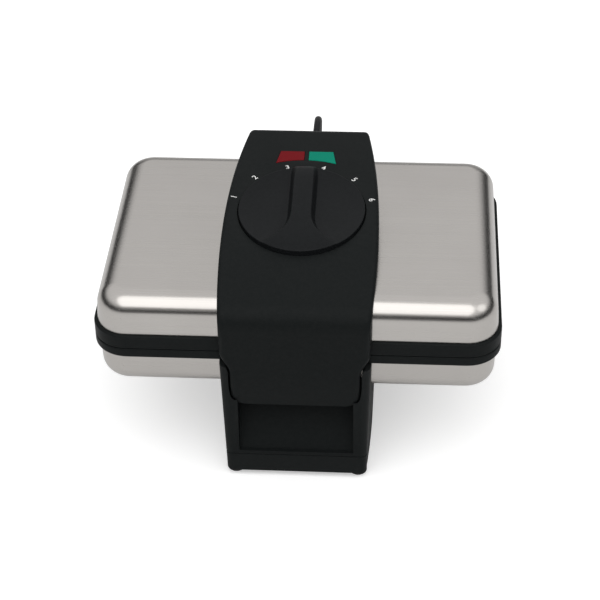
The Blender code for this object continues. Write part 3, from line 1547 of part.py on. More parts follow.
def plug_body():
    """A round moulded plug lying on the floor, pins towards +X."""
    place = (plug_start_x(), COIL_Y - COIL_RADIUS, PLUG_AXIS_HEIGHT)
    end = PLUG_BOOT + PLUG_BODY
    profile = [
        (0, 0),
        (PLUG_BOOT_RADIUS, 0),
        (PLUG_NECK_RADIUS, PLUG_BOOT),
        (PLUG_BODY_RADIUS * 0.8, PLUG_BOOT + PLUG_BODY / 4),
        (PLUG_BODY_RADIUS, PLUG_BOOT + PLUG_BODY / 2),
        (PLUG_BODY_RADIUS, end),
        (0, end),
    ]
    body = turned("plug_body", profile, "rubber", along_x(place), 24)
    for side in (-1, 1):
        pin_place = (place[0] + end, place[1] + side * PLUG_PIN_SPREAD, place[2])
        tool = f"plug_socket_{side + 1}"
        ends = (-PLUG_PIN_ROOT, OVERRUN)
        radius = PLUG_PIN_RADIUS + GAP
        cut(body, rod(tool, radius, *ends, "rubber", along_x(pin_place), SCREW_STEPS))
    return body


def plug_pins():
    made = []
    start = plug_start_x() + PLUG_BOOT + PLUG_BODY
    for side, word in ((-1, "left"), (1, "right")):
        y = COIL_Y - COIL_RADIUS + side * PLUG_PIN_SPREAD
        frame = along_x((start, y, PLUG_AXIS_HEIGHT))
        profile = [
            (PLUG_PIN_RADIUS, GAP - PLUG_PIN_ROOT),
            (PLUG_PIN_RADIUS, PLUG_PIN_LENGTH - PLUG_PIN_RADIUS / 2),
            (PLUG_PIN_RADIUS / 2, PLUG_PIN_LENGTH),
        ]
        made.append(turned(f"plug_pin_{word}", profile, "zinc", frame, SCREW_STEPS))
    return made


def joint_axis(name, place):
    """An empty on a joint's axis, which carries the moving pieces."""
    axis = bpy.data.objects.new(name, None)
    axis.empty_display_size = BARREL_RADIUS
    axis.matrix_world = Matrix.Translation((0, ROW_SHIFT, 0)) @ place
    bpy.context.scene.collection.objects.link(axis)
    return axis


def hang(pieces, axis, axis_matrix):
    for piece in pieces:
        placed = piece.matrix_world.copy()
        piece.parent = axis
        piece.matrix_parent_inverse = axis_matrix.inverted()
        piece.matrix_basis = placed


def base_pieces():
    bosses = [(0, PILLAR_FRONT_Y), (0, PILLAR_REAR_Y)]
    pieces = [stand_shell(), base_tray(), lower_pan(), terminal_block(), hinge_pin()]
    pieces += [foot(name, x, y) for name, x, y in foot_places()]
    pieces += base_screws() + stand_screws()
    pieces.append(ring("lower_ring", LOWER_RING_TOP, LOWER_RING_BOTTOM))
    pieces.append(waffle_plate("lower_waffle_plate", LOWER_RING_TOP, 1, bosses))
    pieces.append(heating_element("lower_heating_element", LOWER_RING_TOP, 1))
    pieces.append(reflector("lower_reflector", LOWER_RING_TOP, 1, bosses))
    return pieces


def cord_pieces():
    route = smooth_route(cord_route(), CORD_SPACING)
    pieces = [strain_relief(), wire("power_cord", route, CORD_RADIUS, "cord")]
    pieces += [cord_coil(), cord_tie(), plug_body()]
    return pieces + plug_pins()


def lid_pieces():
    bosses = [(0, PILLAR_FRONT_Y), (0, PILLAR_REAR_Y)]
    pieces = [upper_pan(), console_cover(), handle_back(), hinge_bracket()]
    pieces += handle_screws() + hinge_screws() + reflector_screws()
    pieces.append(ring("upper_ring", UPPER_RING_BOTTOM, UPPER_RING_TOP))
    pieces.append(waffle_plate("upper_waffle_plate", UPPER_RING_BOTTOM, -1, bosses))
    pieces.append(heating_element("upper_heating_element", UPPER_RING_BOTTOM, -1))
    pieces.append(reflector("upper_reflector", UPPER_RING_BOTTOM, -1, bosses))
    pieces += [thermostat_body(), thermostat_bracket(), thermal_fuse(), fuse_clip()]
    pieces += [lens("red_lens", -1, "red_lens"), lens("green_lens", 1, "green_lens")]
    pieces += [lamp_holder(), lamp("red_lamp", -1), lamp("green_lamp", 1)]
    return pieces


def knob_pieces():
    return [control_knob(), thermostat_shaft(), knob_clip()]


def build():
    clear_scene()
    base_pieces()
    cord_pieces()
    hinge = Matrix.Translation((0, HINGE_Y, HINGE_Z))
    shift = Matrix.Translation((0, ROW_SHIFT, 0))
    lid_axis = joint_axis("lid_axis", hinge)
    hang(lid_pieces(), lid_axis, shift @ hinge)
    knob_axis = joint_axis("knob_axis", knob_frame())
    hang(knob_pieces(), knob_axis, shift @ knob_frame())
    hang([knob_axis], lid_axis, shift @ hinge)


build()
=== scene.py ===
"""Looks of the belgian waffle maker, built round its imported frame.

Metres, +Z up, +X to the right, +Y to the back, in the frame's own place. Shapes are
laid out from the middle of the pans, which lies PAN_Y from the frame's origin.
"""

import json
import math

import bmesh
import bpy
from mathutils import Matrix, Vector

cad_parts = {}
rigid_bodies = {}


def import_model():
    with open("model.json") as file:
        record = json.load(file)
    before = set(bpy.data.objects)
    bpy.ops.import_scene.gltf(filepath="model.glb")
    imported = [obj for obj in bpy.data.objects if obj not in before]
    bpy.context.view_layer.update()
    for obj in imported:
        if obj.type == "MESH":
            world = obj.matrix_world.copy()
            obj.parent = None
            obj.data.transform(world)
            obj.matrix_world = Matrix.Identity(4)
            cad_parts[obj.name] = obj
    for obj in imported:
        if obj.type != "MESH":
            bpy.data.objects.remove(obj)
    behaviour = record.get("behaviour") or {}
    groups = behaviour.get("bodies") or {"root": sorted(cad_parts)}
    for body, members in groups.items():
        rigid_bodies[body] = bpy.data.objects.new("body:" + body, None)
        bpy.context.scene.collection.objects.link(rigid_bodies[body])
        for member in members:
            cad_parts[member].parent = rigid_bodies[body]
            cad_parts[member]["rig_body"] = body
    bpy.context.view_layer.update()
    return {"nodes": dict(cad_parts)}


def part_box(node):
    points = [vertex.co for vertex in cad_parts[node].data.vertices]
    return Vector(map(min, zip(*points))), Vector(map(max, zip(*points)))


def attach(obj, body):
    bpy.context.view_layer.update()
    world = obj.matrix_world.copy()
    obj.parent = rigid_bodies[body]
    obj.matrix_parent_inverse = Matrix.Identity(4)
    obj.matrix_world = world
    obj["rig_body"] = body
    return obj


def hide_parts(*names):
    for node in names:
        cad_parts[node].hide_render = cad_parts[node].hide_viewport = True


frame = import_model()

# Sizes read from the frame
RING_LOW, RING_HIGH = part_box("upper_ring")
LOWER_RING_LOW, LOWER_RING_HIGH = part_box("lower_ring")
COVER_LOW, COVER_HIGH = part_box("console_cover")
STAND_LOW, STAND_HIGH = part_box("stand_shell")
TRAY_LOW, TRAY_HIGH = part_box("base_tray")
PAN_Y = (RING_LOW.y + RING_HIGH.y) / 2
PAN_MIDDLE = Vector((0, PAN_Y, 0))
RING_WIDTH = RING_HIGH.x - RING_LOW.x
RING_DEPTH = RING_HIGH.y - RING_LOW.y
UPPER_PAN_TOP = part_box("upper_pan")[1].z
PAN_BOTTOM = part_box("lower_pan")[0].z
FLAP_FRONT_Y = COVER_LOW.y - PAN_Y
CONSOLE_REAR_Y = COVER_HIGH.y - PAN_Y
TONGUE_TIP = COVER_LOW.z
TOWER_REAR_Y = STAND_HIGH.y - PAN_Y
STAND_FRONT_Y = STAND_LOW.y - PAN_Y
STAND_BOTTOM = TRAY_LOW.z

# Shared clearances, steps and angles in degrees
GAP = 0.0003
OVERRUN = 0.006
CORNER_STEPS = 14
FILLET_STEPS = 14
ROUND_STEPS = 48
SIDE_STEPS = 26
SHOULDER_STEPS = 12
TIP_STEPS = 10
SECTION_STEPS = 6
EDGE_STEPS = 4
SEAM_STEPS = 3
MERGE_DISTANCE = 1e-6
FLAT_ANGLE = 1
SHARP_ANGLE = 35
ROUND_SHARP_ANGLE = 50
SOFT_ANGLE = 40

# Pans and rings
RING_CORNER = 0.026
RING_WALL = 0.005
RING_LEDGE = 0.007
RING_EDGE_ROUND = 0.0012
PLATE_FLANGE = 0.0047
PAN_WALL = 0.001
UPPER_PAN = {"inset": 0.0025, "draft": 0.001, "fillet": 0.016}
LOWER_PAN = {"inset": 0.0035, "draft": 0.0005, "fillet": 0.013}
THERMOSTAT_ROOM = (0.0142, 0.0122)

# Black band, console and flap
BAND_HALF_WIDTH = 0.0584
BAND_WIDEST_Y = -0.037
BAND_SIDE_RADIUS = 0.80
CONSOLE_WALL = 0.0024
CONSOLE_TOP = 0.0236
CONSOLE_TOP_INSET = 0.029
CONSOLE_FRONT_DROP = 0.02525
CONSOLE_FRONT_RADIUS = 0.019
CONSOLE_REAR_RADIUS = 0.011
CONSOLE_EDGE_ROUND = 0.0035
HANDLE_THICKNESS = 0.0084
HANDLE_BACK_THICKNESS = 0.0026
TONGUE_HALF_WIDTH = 0.048
TONGUE_CORNER = 0.009
TONGUE_SHOULDER = 0.019
TONGUE_SWEEP = 0.003
FLAP_BACK_Y = FLAP_FRONT_Y + HANDLE_THICKNESS
CONSOLE_TOP_Y = RING_DEPTH / 2 - CONSOLE_TOP_INSET
CONSOLE_ARCH_RADIUS = (CONSOLE_TOP_Y - FLAP_FRONT_Y) ** 2 / (2 * CONSOLE_FRONT_DROP)

# Knob, dial and lamps
KNOB_Y = -0.008
KNOB_RADIUS = 0.0475
KNOB_RISE = 0.0024
KNOB_SKIRT = 0.0040
KNOB_WALL = 0.003
KNOB_ROOF = 0.0016
KNOB_WELL_GAP = 0.0009
KNOB_WELL_DEPTH = 0.0048
KNOB_WELL_FLOOR = 0.0022
KNOB_WELL_BOTTOM = -KNOB_WELL_DEPTH - KNOB_WELL_FLOOR
KNOB_SCOOP = 0.0032
KNOB_SCOOP_POWER = 3
KNOB_RINGS = 72
KNOB_SECTORS = 216
KNOB_EDGE_ROUND = 0.0007
KNOB_HUB_RADIUS = 0.0065
RIDGE_HEIGHT = 0.0052
RIDGE_FRONT_HEIGHT = 0.0004
RIDGE_HALF_WIDTH = 0.0070
RIDGE_SIDE = 0.0036
RIDGE_END_FALL = 0.8
RIDGE_END_POWER = 8
RIDGE_FALL_POWER = 0.5
RIDGE_FLARE = 0.034
RIDGE_FLARE_START = 0.08
RIDGE_FLARE_POWER = 2.6
SHAFT_RADIUS = 0.003
SHAFT_HOLE_GAP = 0.0008
DIAL_RADIUS = 0.0537
DIAL_STEP = 30
DIAL_NUMBERS = ("1", "2", "3", "4", "5", "6")
DIAL_SIZE = 0.0068
PRINT_THICKNESS = 0.00006
PRINT_SWELL_SHARE = 1 / 160
LENS_ARC_RADIUS = 0.0613
LENS_REAR_Y = 0.0655
LENS_MIDDLE_GAP = 0.0014
LENS_REAR_X = 0.0207
LENS_FRONT_X = 0.0235
LENS_PROUD = 0.0003
LENS_THICKNESS = 0.0042

# Stand
STAND_WALL = 0.0028
STAND_TAPER_SHARE = 0.955
STAND_CORNER = 0.005
CHEEK_TOP_GAP = 0.0006
SEAM_ROUND = 0.0006
RECESS_HALF_WIDTH = 0.0428
RECESS_SILL = 0.020
RECESS_DEPTH_TOP = 0.034
RECESS_DEPTH_SILL = 0.003
SLIDE_GAP = 0.0012
HINGE_SETBACK = 0.008
HINGE_RISE = 0.014
BARREL_RADIUS = 0.008
EAR_INNER_X = 0.028
EAR_OUTER_X = 0.041
TOWER_FRONT_GAP = 0.0006
TOWER_FRONT_Y = RING_DEPTH / 2 + TOWER_FRONT_GAP
TOWER_TOP_GAP = 0.0006
HINGE_Y = RING_DEPTH / 2 + HINGE_SETBACK
HINGE_Z = RING_HIGH.z + HINGE_RISE
PIN_RADIUS = 0.0025
TOWER_WALL = 0.0026
PILLAR_RADIUS = 0.0042
FOOT_STUD_RADIUS = 0.003
FOOT_ROUND = 0.0014

# Screws, whose places and lengths are read from the frame
SCREW_RADIUS = 0.0014
SCREW_HEAD_RADIUS = 0.0028
SCREW_HEAD = 0.0016
SCREW_DOME_SHARE = 0.72
SCREW_SLOT = 0.0006
SCREW_REACH_SHARE = 1.3
SCREW_SIDES = 28
SCREWS = {
    "base_screw_set": ((0, 0, -1), "base", *[f"base_screw_{number}" for number in (1, 2, 3, 4)]),
    "stand_screw_set": ((0, 0, -1), "base", "stand_screw_front", "stand_screw_rear"),
    "hinge_screw_set": ((0, 1, 0), "lid", "hinge_screw_left", "hinge_screw_right"),
    "handle_screw_set": ((0, 1, 0), "lid", "handle_screw_left", "handle_screw_right"),
    "reflector_screw_set": ((0, 0, 1), "lid", "reflector_screw_front", "reflector_screw_rear"),
}

# Frame nodes whose edges only need rounding
SMALL_PARTS = ("hinge_bracket", "hinge_pin", "handle_back", "lamp_holder", "terminal_block")
SMALL_PARTS += ("thermostat_body", "thermostat_bracket")
FEET = [f"foot_{row}_{side}" for row in ("front", "rear") for side in ("left", "right")]

# Waffle plates
CAVITY_DEPTH = 0.012
PLATE_FLOOR = 0.003
SLICE_WIDTH = 0.112
SLICE_DEPTH = 0.164
SLICE_DRAFT = 0.002
SLICE_CORNER = 0.006
MIDDLE_LAND = 0.018
STUD_BASE = 0.015
STUD_TOP = 0.011
STUD_DROP = 0.003
STUD_COLUMNS = 4
STUD_ROWS = 6

# Mains lead, with the route that the part's source lays out
CORD_RADIUS = 0.00325
CORD_SPACING = 0.014
CORD_SAMPLES = 24
CORD_EXIT_DROP = 0.013
CORD_EXIT_Z = RING_HIGH.z - CORD_EXIT_DROP
CORD_ROUTE = (
    (0.0, 0.1780, 0.1124),
    (0.0, 0.1950, 0.1127),
    (0.0, 0.2110, 0.1120),
    (-0.0002, 0.2232, 0.1092),
    (-0.0005, 0.2336, 0.1024),
    (-0.0010, 0.2406, 0.0920),
    (-0.0016, 0.2432, 0.0800),
    (-0.0022, 0.2436, 0.0660),
    (-0.0030, 0.2434, 0.0530),
    (-0.0042, 0.2430, 0.0400),
    (-0.0078, 0.2424, 0.0262),
    (-0.0160, 0.2418, 0.0144),
    (-0.0280, 0.2414, 0.0073),
    (-0.0420, 0.2411, 0.0049),
)
COIL_RADIUS = 0.0405
COIL_PITCH = 0.0075
COIL_TURNS = 2.5
COIL_LAYER = 0.0070
COIL_X = -0.070
COIL_Y = 0.2005
COIL_TAIL = 0.044
COIL_STEPS = 24
TAIL_SHARES = (0.15, 0.3, 0.42, 0.54, 0.66, 0.85, 1.0)
TIE_SHEET = 0.0009
COIL_HEIGHT = TIE_SHEET + 2 * GAP + CORD_RADIUS
BOOT_LENGTH = 0.038
BOOT_ROOT_RADIUS = 0.0066
BOOT_TIP_RADIUS = 0.0044
BOOT_FLANGE_RADIUS = 0.0072
BOOT_FLANGE = 0.0025
BOOT_RIBS = 9
BOOT_RIB_STEPS = 6
BOOT_RIB_RADIUS = 0.0007
BOOT_NECK_RADIUS = 0.0046
PLUG_AXIS_HEIGHT = 0.0185
PLUG_BODY_RADIUS = 0.0182
PLUG_BODY = 0.036
PLUG_SHARES = ((0.8, 0.25), (0.96, 0.42), (1, 0.55))
PLUG_NECK_RADIUS = 0.0095
PLUG_BOOT = 0.022
PLUG_BOOT_RADIUS = 0.0050
PLUG_PIN_RADIUS = 0.0024
PLUG_PIN_SPREAD = 0.0095
PLUG_PIN_ROOT = 0.008
PLUG_GRIPS = 12
PLUG_GRIP_DEPTH = 0.0006

# Finishes
PLASTIC = "black_plastic"
NOISE_SPAN = (0.3, 0.7)
SPECK_SPAN = (0.35, 0.68)
WEAR_SPAN = (0.52, 0.62)
HANDLING_SCALE = 24.0
SMUDGE_SCALE = 11.0
RIB_SCALE = 260.0
RIB_DEPTH = 0.00008
RIB_STRENGTH = 0.6
LENS_SHEEN = 0.04
LENS_DRIFT_SCALE = 60.0
SMOKE_SCALE = 180.0
GLASS_CLEARNESS = 0.6

# Camera, fitted to the photograph's edges; angles in degrees
PHOTO_SIZE = 600
SENSOR = 36
FOCAL_PIXELS = 1825.57
CAMERA_PLACE = (0.07675, -1.13341, 0.95179)
CAMERA_YAW = 4.432
CAMERA_PITCH = 37.509
CAMERA_ROLL = -1.228
SHIFT_PIXELS = (9.94, 0.84)

# Light and floor; a lamp's row is its name, place, size and power
SKY_LEVEL = 0.96
HORIZON_LEVEL = 0.03
HORIZON_RISE = (0.22, 0.60)
REAR_LEVEL = 0.50
REAR_REACH = (0.86, 0.99)
FLOOR_SIZE = 6
FLOOR_GLOW = 0.40
FLOOR_SCALE = 3.0
FLOOR_TONES = ((0.86, 0.86, 0.86), (0.84, 0.84, 0.84))
FLOOR_ROUGHNESS = 0.9
FLOOR_SHEEN = 0.1
LAMPS = (
    ("key_lamp", (-0.1, -0.9, 1.5), 1.8, 9.8),
    ("fill_lamp", (1.3, -0.4, 1.3), 1.0, 2.0),
)


def feed(tree, sockets, values):
    """Fill sockets by name or number: a socket is linked, and so is each in a list."""
    for name, value in values.items():
        sources = value if isinstance(value, list) else [value]
        if isinstance(sources[0], bpy.types.NodeSocket):
            for source in sources:
                tree.links.new(source, sockets[name])
        else:
            sockets[name].default_value = value


def put(tree, kind, inputs=None, output=0, **settings):
    """Add a node with its settings and inputs, and give one of its outputs."""
    made = tree.nodes.new(kind)
    for name, value in settings.items():
        setattr(made, name, value)
    feed(tree, made.inputs, inputs or {})
    return made.outputs[output]


def spread(tree, value, span, low=0.0, high=1.0, **settings):
    """Map a value over a span onto low to high."""
    inputs = {"Value": value, "From Min": span[0], "From Max": span[1]}
    inputs.update({"To Min": low, "To Max": high})
    return put(tree, "ShaderNodeMapRange", inputs, **settings)


def mix(tree, share, first, second):
    return put(tree, "ShaderNodeMix", {0: share, 6: first, 7: second}, 2, data_type="RGBA")


def reckon(tree, first, operation, second):
    return put(tree, "ShaderNodeMath", {0: first, 1: second}, operation=operation)


def vector(tree, *parts):
    return put(tree, "ShaderNodeCombineXYZ", dict(enumerate(parts)))


def new_tree(name, inputs, outputs, family="Shader"):
    """A node group; each socket is named with its kind, or a number to start from."""
    tree = bpy.data.node_groups.new(name, f"{family}NodeTree")
    for way, sockets in (("INPUT", inputs), ("OUTPUT", outputs)):
        for label, kind in sockets.items():
            word = kind if isinstance(kind, str) else "Float"
            made = tree.interface.new_socket(label, in_out=way, socket_type=f"NodeSocket{word}")
            if word != kind:
                made.default_value = kind
    start = tree.nodes.new("NodeGroupInput").outputs
    return tree, start, tree.nodes.new("NodeGroupOutput").inputs


def noise(tree, start, detail):
    """Noise at a group's own Vector and Scale."""
    inputs = {"Vector": start["Vector"], "Scale": start["Scale"], "Detail": detail}
    return put(tree, "ShaderNodeTexNoise", inputs, "Fac")


def make_uneven_value():
    """A value that drifts between two levels, as gloss does on a handled surface."""
    inputs = {"Vector": "Vector", "Scale": 20.0, "Low": 0.3, "High": 0.5}
    tree, start, end = new_tree("uneven_value", inputs, {"Value": "Float"})
    level = spread(tree, noise(tree, start, 4.0), NOISE_SPAN, start["Low"], start["High"])
    feed(tree, end, {"Value": level})


def make_two_tone():
    """A colour speckled with a second one at the grain's size."""
    inputs = {"Vector": "Vector", "Scale": 400.0, "First": "Color", "Second": "Color"}
    tree, start, end = new_tree("two_tone", inputs, {"Color": "Color"})
    share = spread(tree, noise(tree, start, 5.0), SPECK_SPAN)
    feed(tree, end, {"Color": mix(tree, share, start["First"], start["Second"])})


def make_mould_grain():
    """The fine pebbled height of a moulded surface."""
    inputs = {"Vector": "Vector", "Scale": 1500.0}
    tree, start, end = new_tree("mould_grain", inputs, {"Height": "Float"})
    cells = {"Vector": start["Vector"], "Scale": start["Scale"]}
    cells = put(tree, "ShaderNodeTexVoronoi", cells, "Distance")
    feed(tree, end, {"Height": reckon(tree, cells, "ADD", noise(tree, start, 3.0))})


def make_brushing():
    """Fine parallel lines along X, with their own height and gloss."""
    inputs = {"Vector": "Vector", "Along": 6.0, "Across": 1400.0, "Low": 0.2, "High": 0.3}
    tree, start, end = new_tree("brushing", inputs, {"Height": "Float", "Roughness": "Float"})
    scale = vector(tree, start["Along"], start["Across"], start["Across"])
    place = {0: start["Vector"], 1: scale}
    place = put(tree, "ShaderNodeVectorMath", place, operation="MULTIPLY")
    lines = {"Vector": place, "Scale": 1.0, "Detail": 2.0}
    lines = put(tree, "ShaderNodeTexNoise", lines, "Fac")
    gloss = spread(tree, lines, NOISE_SPAN, start["Low"], start["High"])
    feed(tree, end, {"Height": lines, "Roughness": gloss})


def make_edge_wear():
    """Lets a worn colour through where a surface is sharply convex."""
    inputs = {"Pointiness": 0.5, "Amount": 0.3, "Color": "Color", "Worn": "Color"}
    tree, start, end = new_tree("edge_wear", inputs, {"Color": "Color"})
    edge = spread(tree, start["Pointiness"], WEAR_SPAN)
    share = reckon(tree, edge, "MULTIPLY", start["Amount"])
    feed(tree, end, {"Color": mix(tree, share, start["Color"], start["Worn"])})


def use_group(tree, name, inputs, output=0):
    return put(tree, "ShaderNodeGroup", inputs, output, node_tree=bpy.data.node_groups[name])


def drift(tree, place, scale, span):
    """A value that drifts over a span."""
    inputs = {"Vector": place, "Scale": scale, "Low": span[0], "High": span[1]}
    return use_group(tree, "uneven_value", inputs)


def speckle(tree, place, scale, first, second):
    """Two tones, speckled at a scale."""
    inputs = {"Vector": place, "Scale": scale, "First": (*first, 1.0), "Second": (*second, 1.0)}
    return use_group(tree, "two_tone", inputs)


def bump(tree, height, depth, strength=1.0):
    inputs = {"Height": height, "Distance": depth, "Strength": strength}
    return put(tree, "ShaderNodeBump", inputs)


def blank_finish(name):
    """A new material with its shader's inputs and its object coordinates."""
    made = bpy.data.materials.new(name)
    made.use_nodes = True
    tree = made.node_tree
    place = put(tree, "ShaderNodeTexCoord", output="Object")
    return made, tree, tree.nodes["Principled BSDF"].inputs, place


def moulded(name, rough, colours, grain=1500.0, depth=0.00004, wear=0.35, sheen=0.5):
    """A moulded surface: two near tones, uneven gloss, pebbled grain, paler edges."""
    made, tree, shader, place = blank_finish(name)
    first, second, worn = colours
    edge = {"Color": speckle(tree, place, grain / 4, first, second), "Worn": (*worn, 1.0)}
    edge["Pointiness"] = put(tree, "ShaderNodeNewGeometry", output="Pointiness")
    edge["Amount"] = wear
    height = use_group(tree, "mould_grain", {"Vector": place, "Scale": grain})
    looks = {"Base Color": use_group(tree, "edge_wear", edge), "Specular IOR Level": sheen}
    looks["Roughness"] = drift(tree, place, HANDLING_SCALE, rough)
    looks["Normal"] = bump(tree, height, depth)
    feed(tree, shader, looks)
    return made


def brushed(name, rough, colours, across=1400.0, depth=0.000006):
    """Brushed metal: fine lines, with a slow drift of colour like faint smudges."""
    made, tree, shader, place = blank_finish(name)
    lines = {"Vector": place, "Across": across, "Low": rough[0], "High": rough[1]}
    gloss = use_group(tree, "brushing", lines, "Roughness")
    looks = {"Base Color": speckle(tree, place, SMUDGE_SCALE, *colours), "Metallic": 1.0}
    looks["Roughness"] = gloss
    looks["Normal"] = bump(tree, gloss.node.outputs["Height"], depth)
    feed(tree, shader, looks)
    return made


def tinted(name, rough, colours):
    """A tinted lens: darker cells between brighter ribs."""
    made, tree, shader, place = blank_finish(name)
    ribs = {"Vector": place, "Scale": RIB_SCALE, "Distortion": 0.6, "Detail": 1.0}
    ribs = put(tree, "ShaderNodeTexWave", ribs, "Fac", bands_direction="DIAGONAL")
    deep, bright = [(*colour, 1.0) for colour in colours]
    looks = {"Base Color": mix(tree, ribs, deep, bright), "Specular IOR Level": LENS_SHEEN}
    looks["Roughness"] = drift(tree, place, LENS_DRIFT_SCALE, rough)
    looks["Normal"] = bump(tree, ribs, RIB_DEPTH, RIB_STRENGTH)
    feed(tree, shader, looks)
    return made


def clear(name, rough, colours):
    """Clear glass with a faint smoky drift."""
    made, tree, shader, place = blank_finish(name)
    looks = {"Base Color": speckle(tree, place, SMOKE_SCALE, *colours)}
    looks["Roughness"] = drift(tree, place, SMOKE_SCALE / 2, rough)
    looks["Transmission Weight"] = GLASS_CLEARNESS
    feed(tree, shader, looks)
    return made


# Each slot's maker, material name, roughness span, further settings and colours
FINISHES = {
    "steel": (brushed, "satin_steel", (0.20, 0.28), {}, (0.49, 0.470, 0.449), (0.46, 0.440, 0.419)),
    PLASTIC: (
        moulded, "matte_black_plastic", (0.42, 0.50), {"sheen": 0.06},
        (0.0080, 0.0096, 0.0097), (0.0098, 0.0112, 0.0113), (0.024, 0.026, 0.026),
    ),
    "knob_plastic": (
        moulded, "knob_plastic_finish", (0.36, 0.43), {"depth": 0.00003, "sheen": 0.10},
        (0.0066, 0.0075, 0.0082), (0.0084, 0.0094, 0.0102), (0.024, 0.026, 0.028),
    ),
    "nonstick": (
        moulded, "nonstick_coating", (0.28, 0.40), {"grain": 2400.0, "wear": 0.2},
        (0.022, 0.022, 0.024), (0.048, 0.048, 0.050), (0.08, 0.08, 0.08),
    ),
    "element": (
        brushed, "heat_tinted_steel", (0.40, 0.58), {"across": 200.0},
        (0.24, 0.22, 0.20), (0.15, 0.13, 0.14),
    ),
    "aluminium": (
        brushed, "rolled_aluminium", (0.30, 0.42), {"across": 700.0},
        (0.72, 0.72, 0.73), (0.64, 0.64, 0.65),
    ),
    "rubber": (
        moulded, "soft_rubber", (0.62, 0.78), {"grain": 2000.0, "wear": 0.25},
        (0.012, 0.012, 0.012), (0.022, 0.022, 0.022), (0.04, 0.04, 0.04),
    ),
    "red_lens": (tinted, "red_tinted_lens", (0.22, 0.32), {}, (0.10, 0.004, 0.006), (0.20, 0.007, 0.011)),
    "green_lens": (
        tinted, "green_tinted_lens", (0.22, 0.32), {}, (0.001, 0.15, 0.095), (0.003, 0.27, 0.175),
    ),
    "lamp_glass": (clear, "clear_lamp_glass", (0.06, 0.14), {}, (0.88, 0.84, 0.78), (0.76, 0.70, 0.62)),
    "phenolic": (
        moulded, "brown_phenolic", (0.45, 0.60), {},
        (0.09, 0.05, 0.03), (0.15, 0.09, 0.05), (0.20, 0.13, 0.08),
    ),
    "ceramic": (
        moulded, "glazed_ceramic", (0.30, 0.45), {"grain": 700.0},
        (0.74, 0.72, 0.67), (0.66, 0.63, 0.57), (0.80, 0.78, 0.74),
    ),
    "zinc": (
        brushed, "plated_zinc", (0.28, 0.42), {"across": 300.0},
        (0.56, 0.56, 0.57), (0.47, 0.47, 0.49),
    ),
    "cord": (
        moulded, "cord_sheath", (0.42, 0.56),
        {"grain": 900.0, "depth": 0.00002, "wear": 0.1, "sheen": 0.12},
        (0.010, 0.010, 0.011), (0.014, 0.014, 0.015), (0.025, 0.025, 0.025),
    ),
    "print": (
        moulded, "white_print", (0.45, 0.60), {"wear": 0.0},
        (0.80, 0.80, 0.78), (0.70, 0.70, 0.69), (0.80, 0.80, 0.80),
    ),
}
finishes = {}


def make_finishes():
    make_uneven_value()
    make_two_tone()
    make_mould_grain()
    make_brushing()
    make_edge_wear()
    for slot, (maker, name, rough, more, *colours) in FINISHES.items():
        finishes[slot] = maker(name, rough, colours, **more)


def show(name, data):
    """A new object in the scene."""
    made = bpy.data.objects.new(name, data)
    bpy.context.scene.collection.objects.link(made)
    return made


def arc(steps, start=0, sweep=90):
    """(cosine, sine) pairs at even steps round an arc given in degrees."""
    angles = [math.radians(start + sweep * step / steps) for step in range(steps + 1)]
    return [(math.cos(angle), math.sin(angle)) for angle in angles]


def circle(radius, steps, height):
    """A loop of points round Z, at a height or one that x and y give."""
    pairs = [(radius * cosine, radius * sine) for cosine, sine in arc(steps, 0, 360)[:-1]]
    return [(x, y, height(x, y) if callable(height) else height) for x, y in pairs]


def ease(share):
    """A share from 0 to 1 with soft ends."""
    share = min(max(share, 0), 1)
    return share * share * (3 - 2 * share)


def mesh_from(name, points, faces, slot=PLASTIC, place=None):
    """A mesh from points laid out from the pans' middle, or in place's own frame."""
    mesh = bpy.data.meshes.new(name)
    mesh.from_pydata([tuple(point) for point in points], [], faces)
    mesh.transform(Matrix.Translation(PAN_MIDDLE) @ (place or Matrix()))
    shell = bmesh.new()
    shell.from_mesh(mesh)
    bmesh.ops.recalc_face_normals(shell, faces=shell.faces)
    shell.to_mesh(mesh)
    shell.free()
    mesh.materials.append(finishes[slot])
    return show(name, mesh)


def band(here, there, count):
    """Faces between two loops of points, which start at here and there."""
    afters = [(step + 1) % count for step in range(count)]
    return [
        (here + step, here + after, there + after, there + step)
        for step, after in enumerate(afters)
    ]


def loft(name, loops, slot=PLASTIC, place=None, split=-1):
    """Skin loops of equal length in a ring, which split opens and closes with caps."""
    count = len(loops[0])
    starts = [level * count for level in range(len(loops))]
    pairs = list(zip(starts, starts[1:] + starts[:1]))
    caps = [] if split is None else pairs.pop(split)
    faces = [face for pair in pairs for face in band(*pair, count)]
    faces += [tuple(range(start, start + count)) for start in caps]
    return mesh_from(name, [point for loop in loops for point in loop], faces, slot, place)


def block(name, low, high, place=None):
    corners = ((low[0], low[1]), (high[0], low[1]), (high[0], high[1]), (low[0], high[1]))
    loops = [[(x, y, z) for x, y in corners] for z in (low[2], high[2])]
    return loft(name, loops, place=place)


def rod(name, radius, low, high, place=None, steps=ROUND_STEPS):
    return loft(name, [circle(radius, steps, z) for z in (low, high)], place=place)


def along_x(place):
    """A frame whose Z runs along +X, from place."""
    return Matrix.Translation(place) @ Matrix.Rotation(math.pi / 2, 4, "Y")


def along_y(place):
    """A frame whose Z runs along +Y, from place."""
    return Matrix.Translation(place) @ Matrix.Rotation(-math.pi / 2, 4, "X")


def evaluated(piece):
    """A piece's mesh as its modifiers leave it."""
    graph = bpy.context.evaluated_depsgraph_get()
    graph.update()
    return bpy.data.meshes.new_from_object(piece.evaluated_get(graph))


def bake(piece):
    """Replace a piece's mesh with the result of its modifiers."""
    mesh = evaluated(piece)
    tools = [step.object for step in piece.modifiers if step.type == "BOOLEAN"]
    piece.modifiers.clear()
    piece.data = mesh
    for tool in tools:
        bpy.data.objects.remove(tool, do_unlink=True)


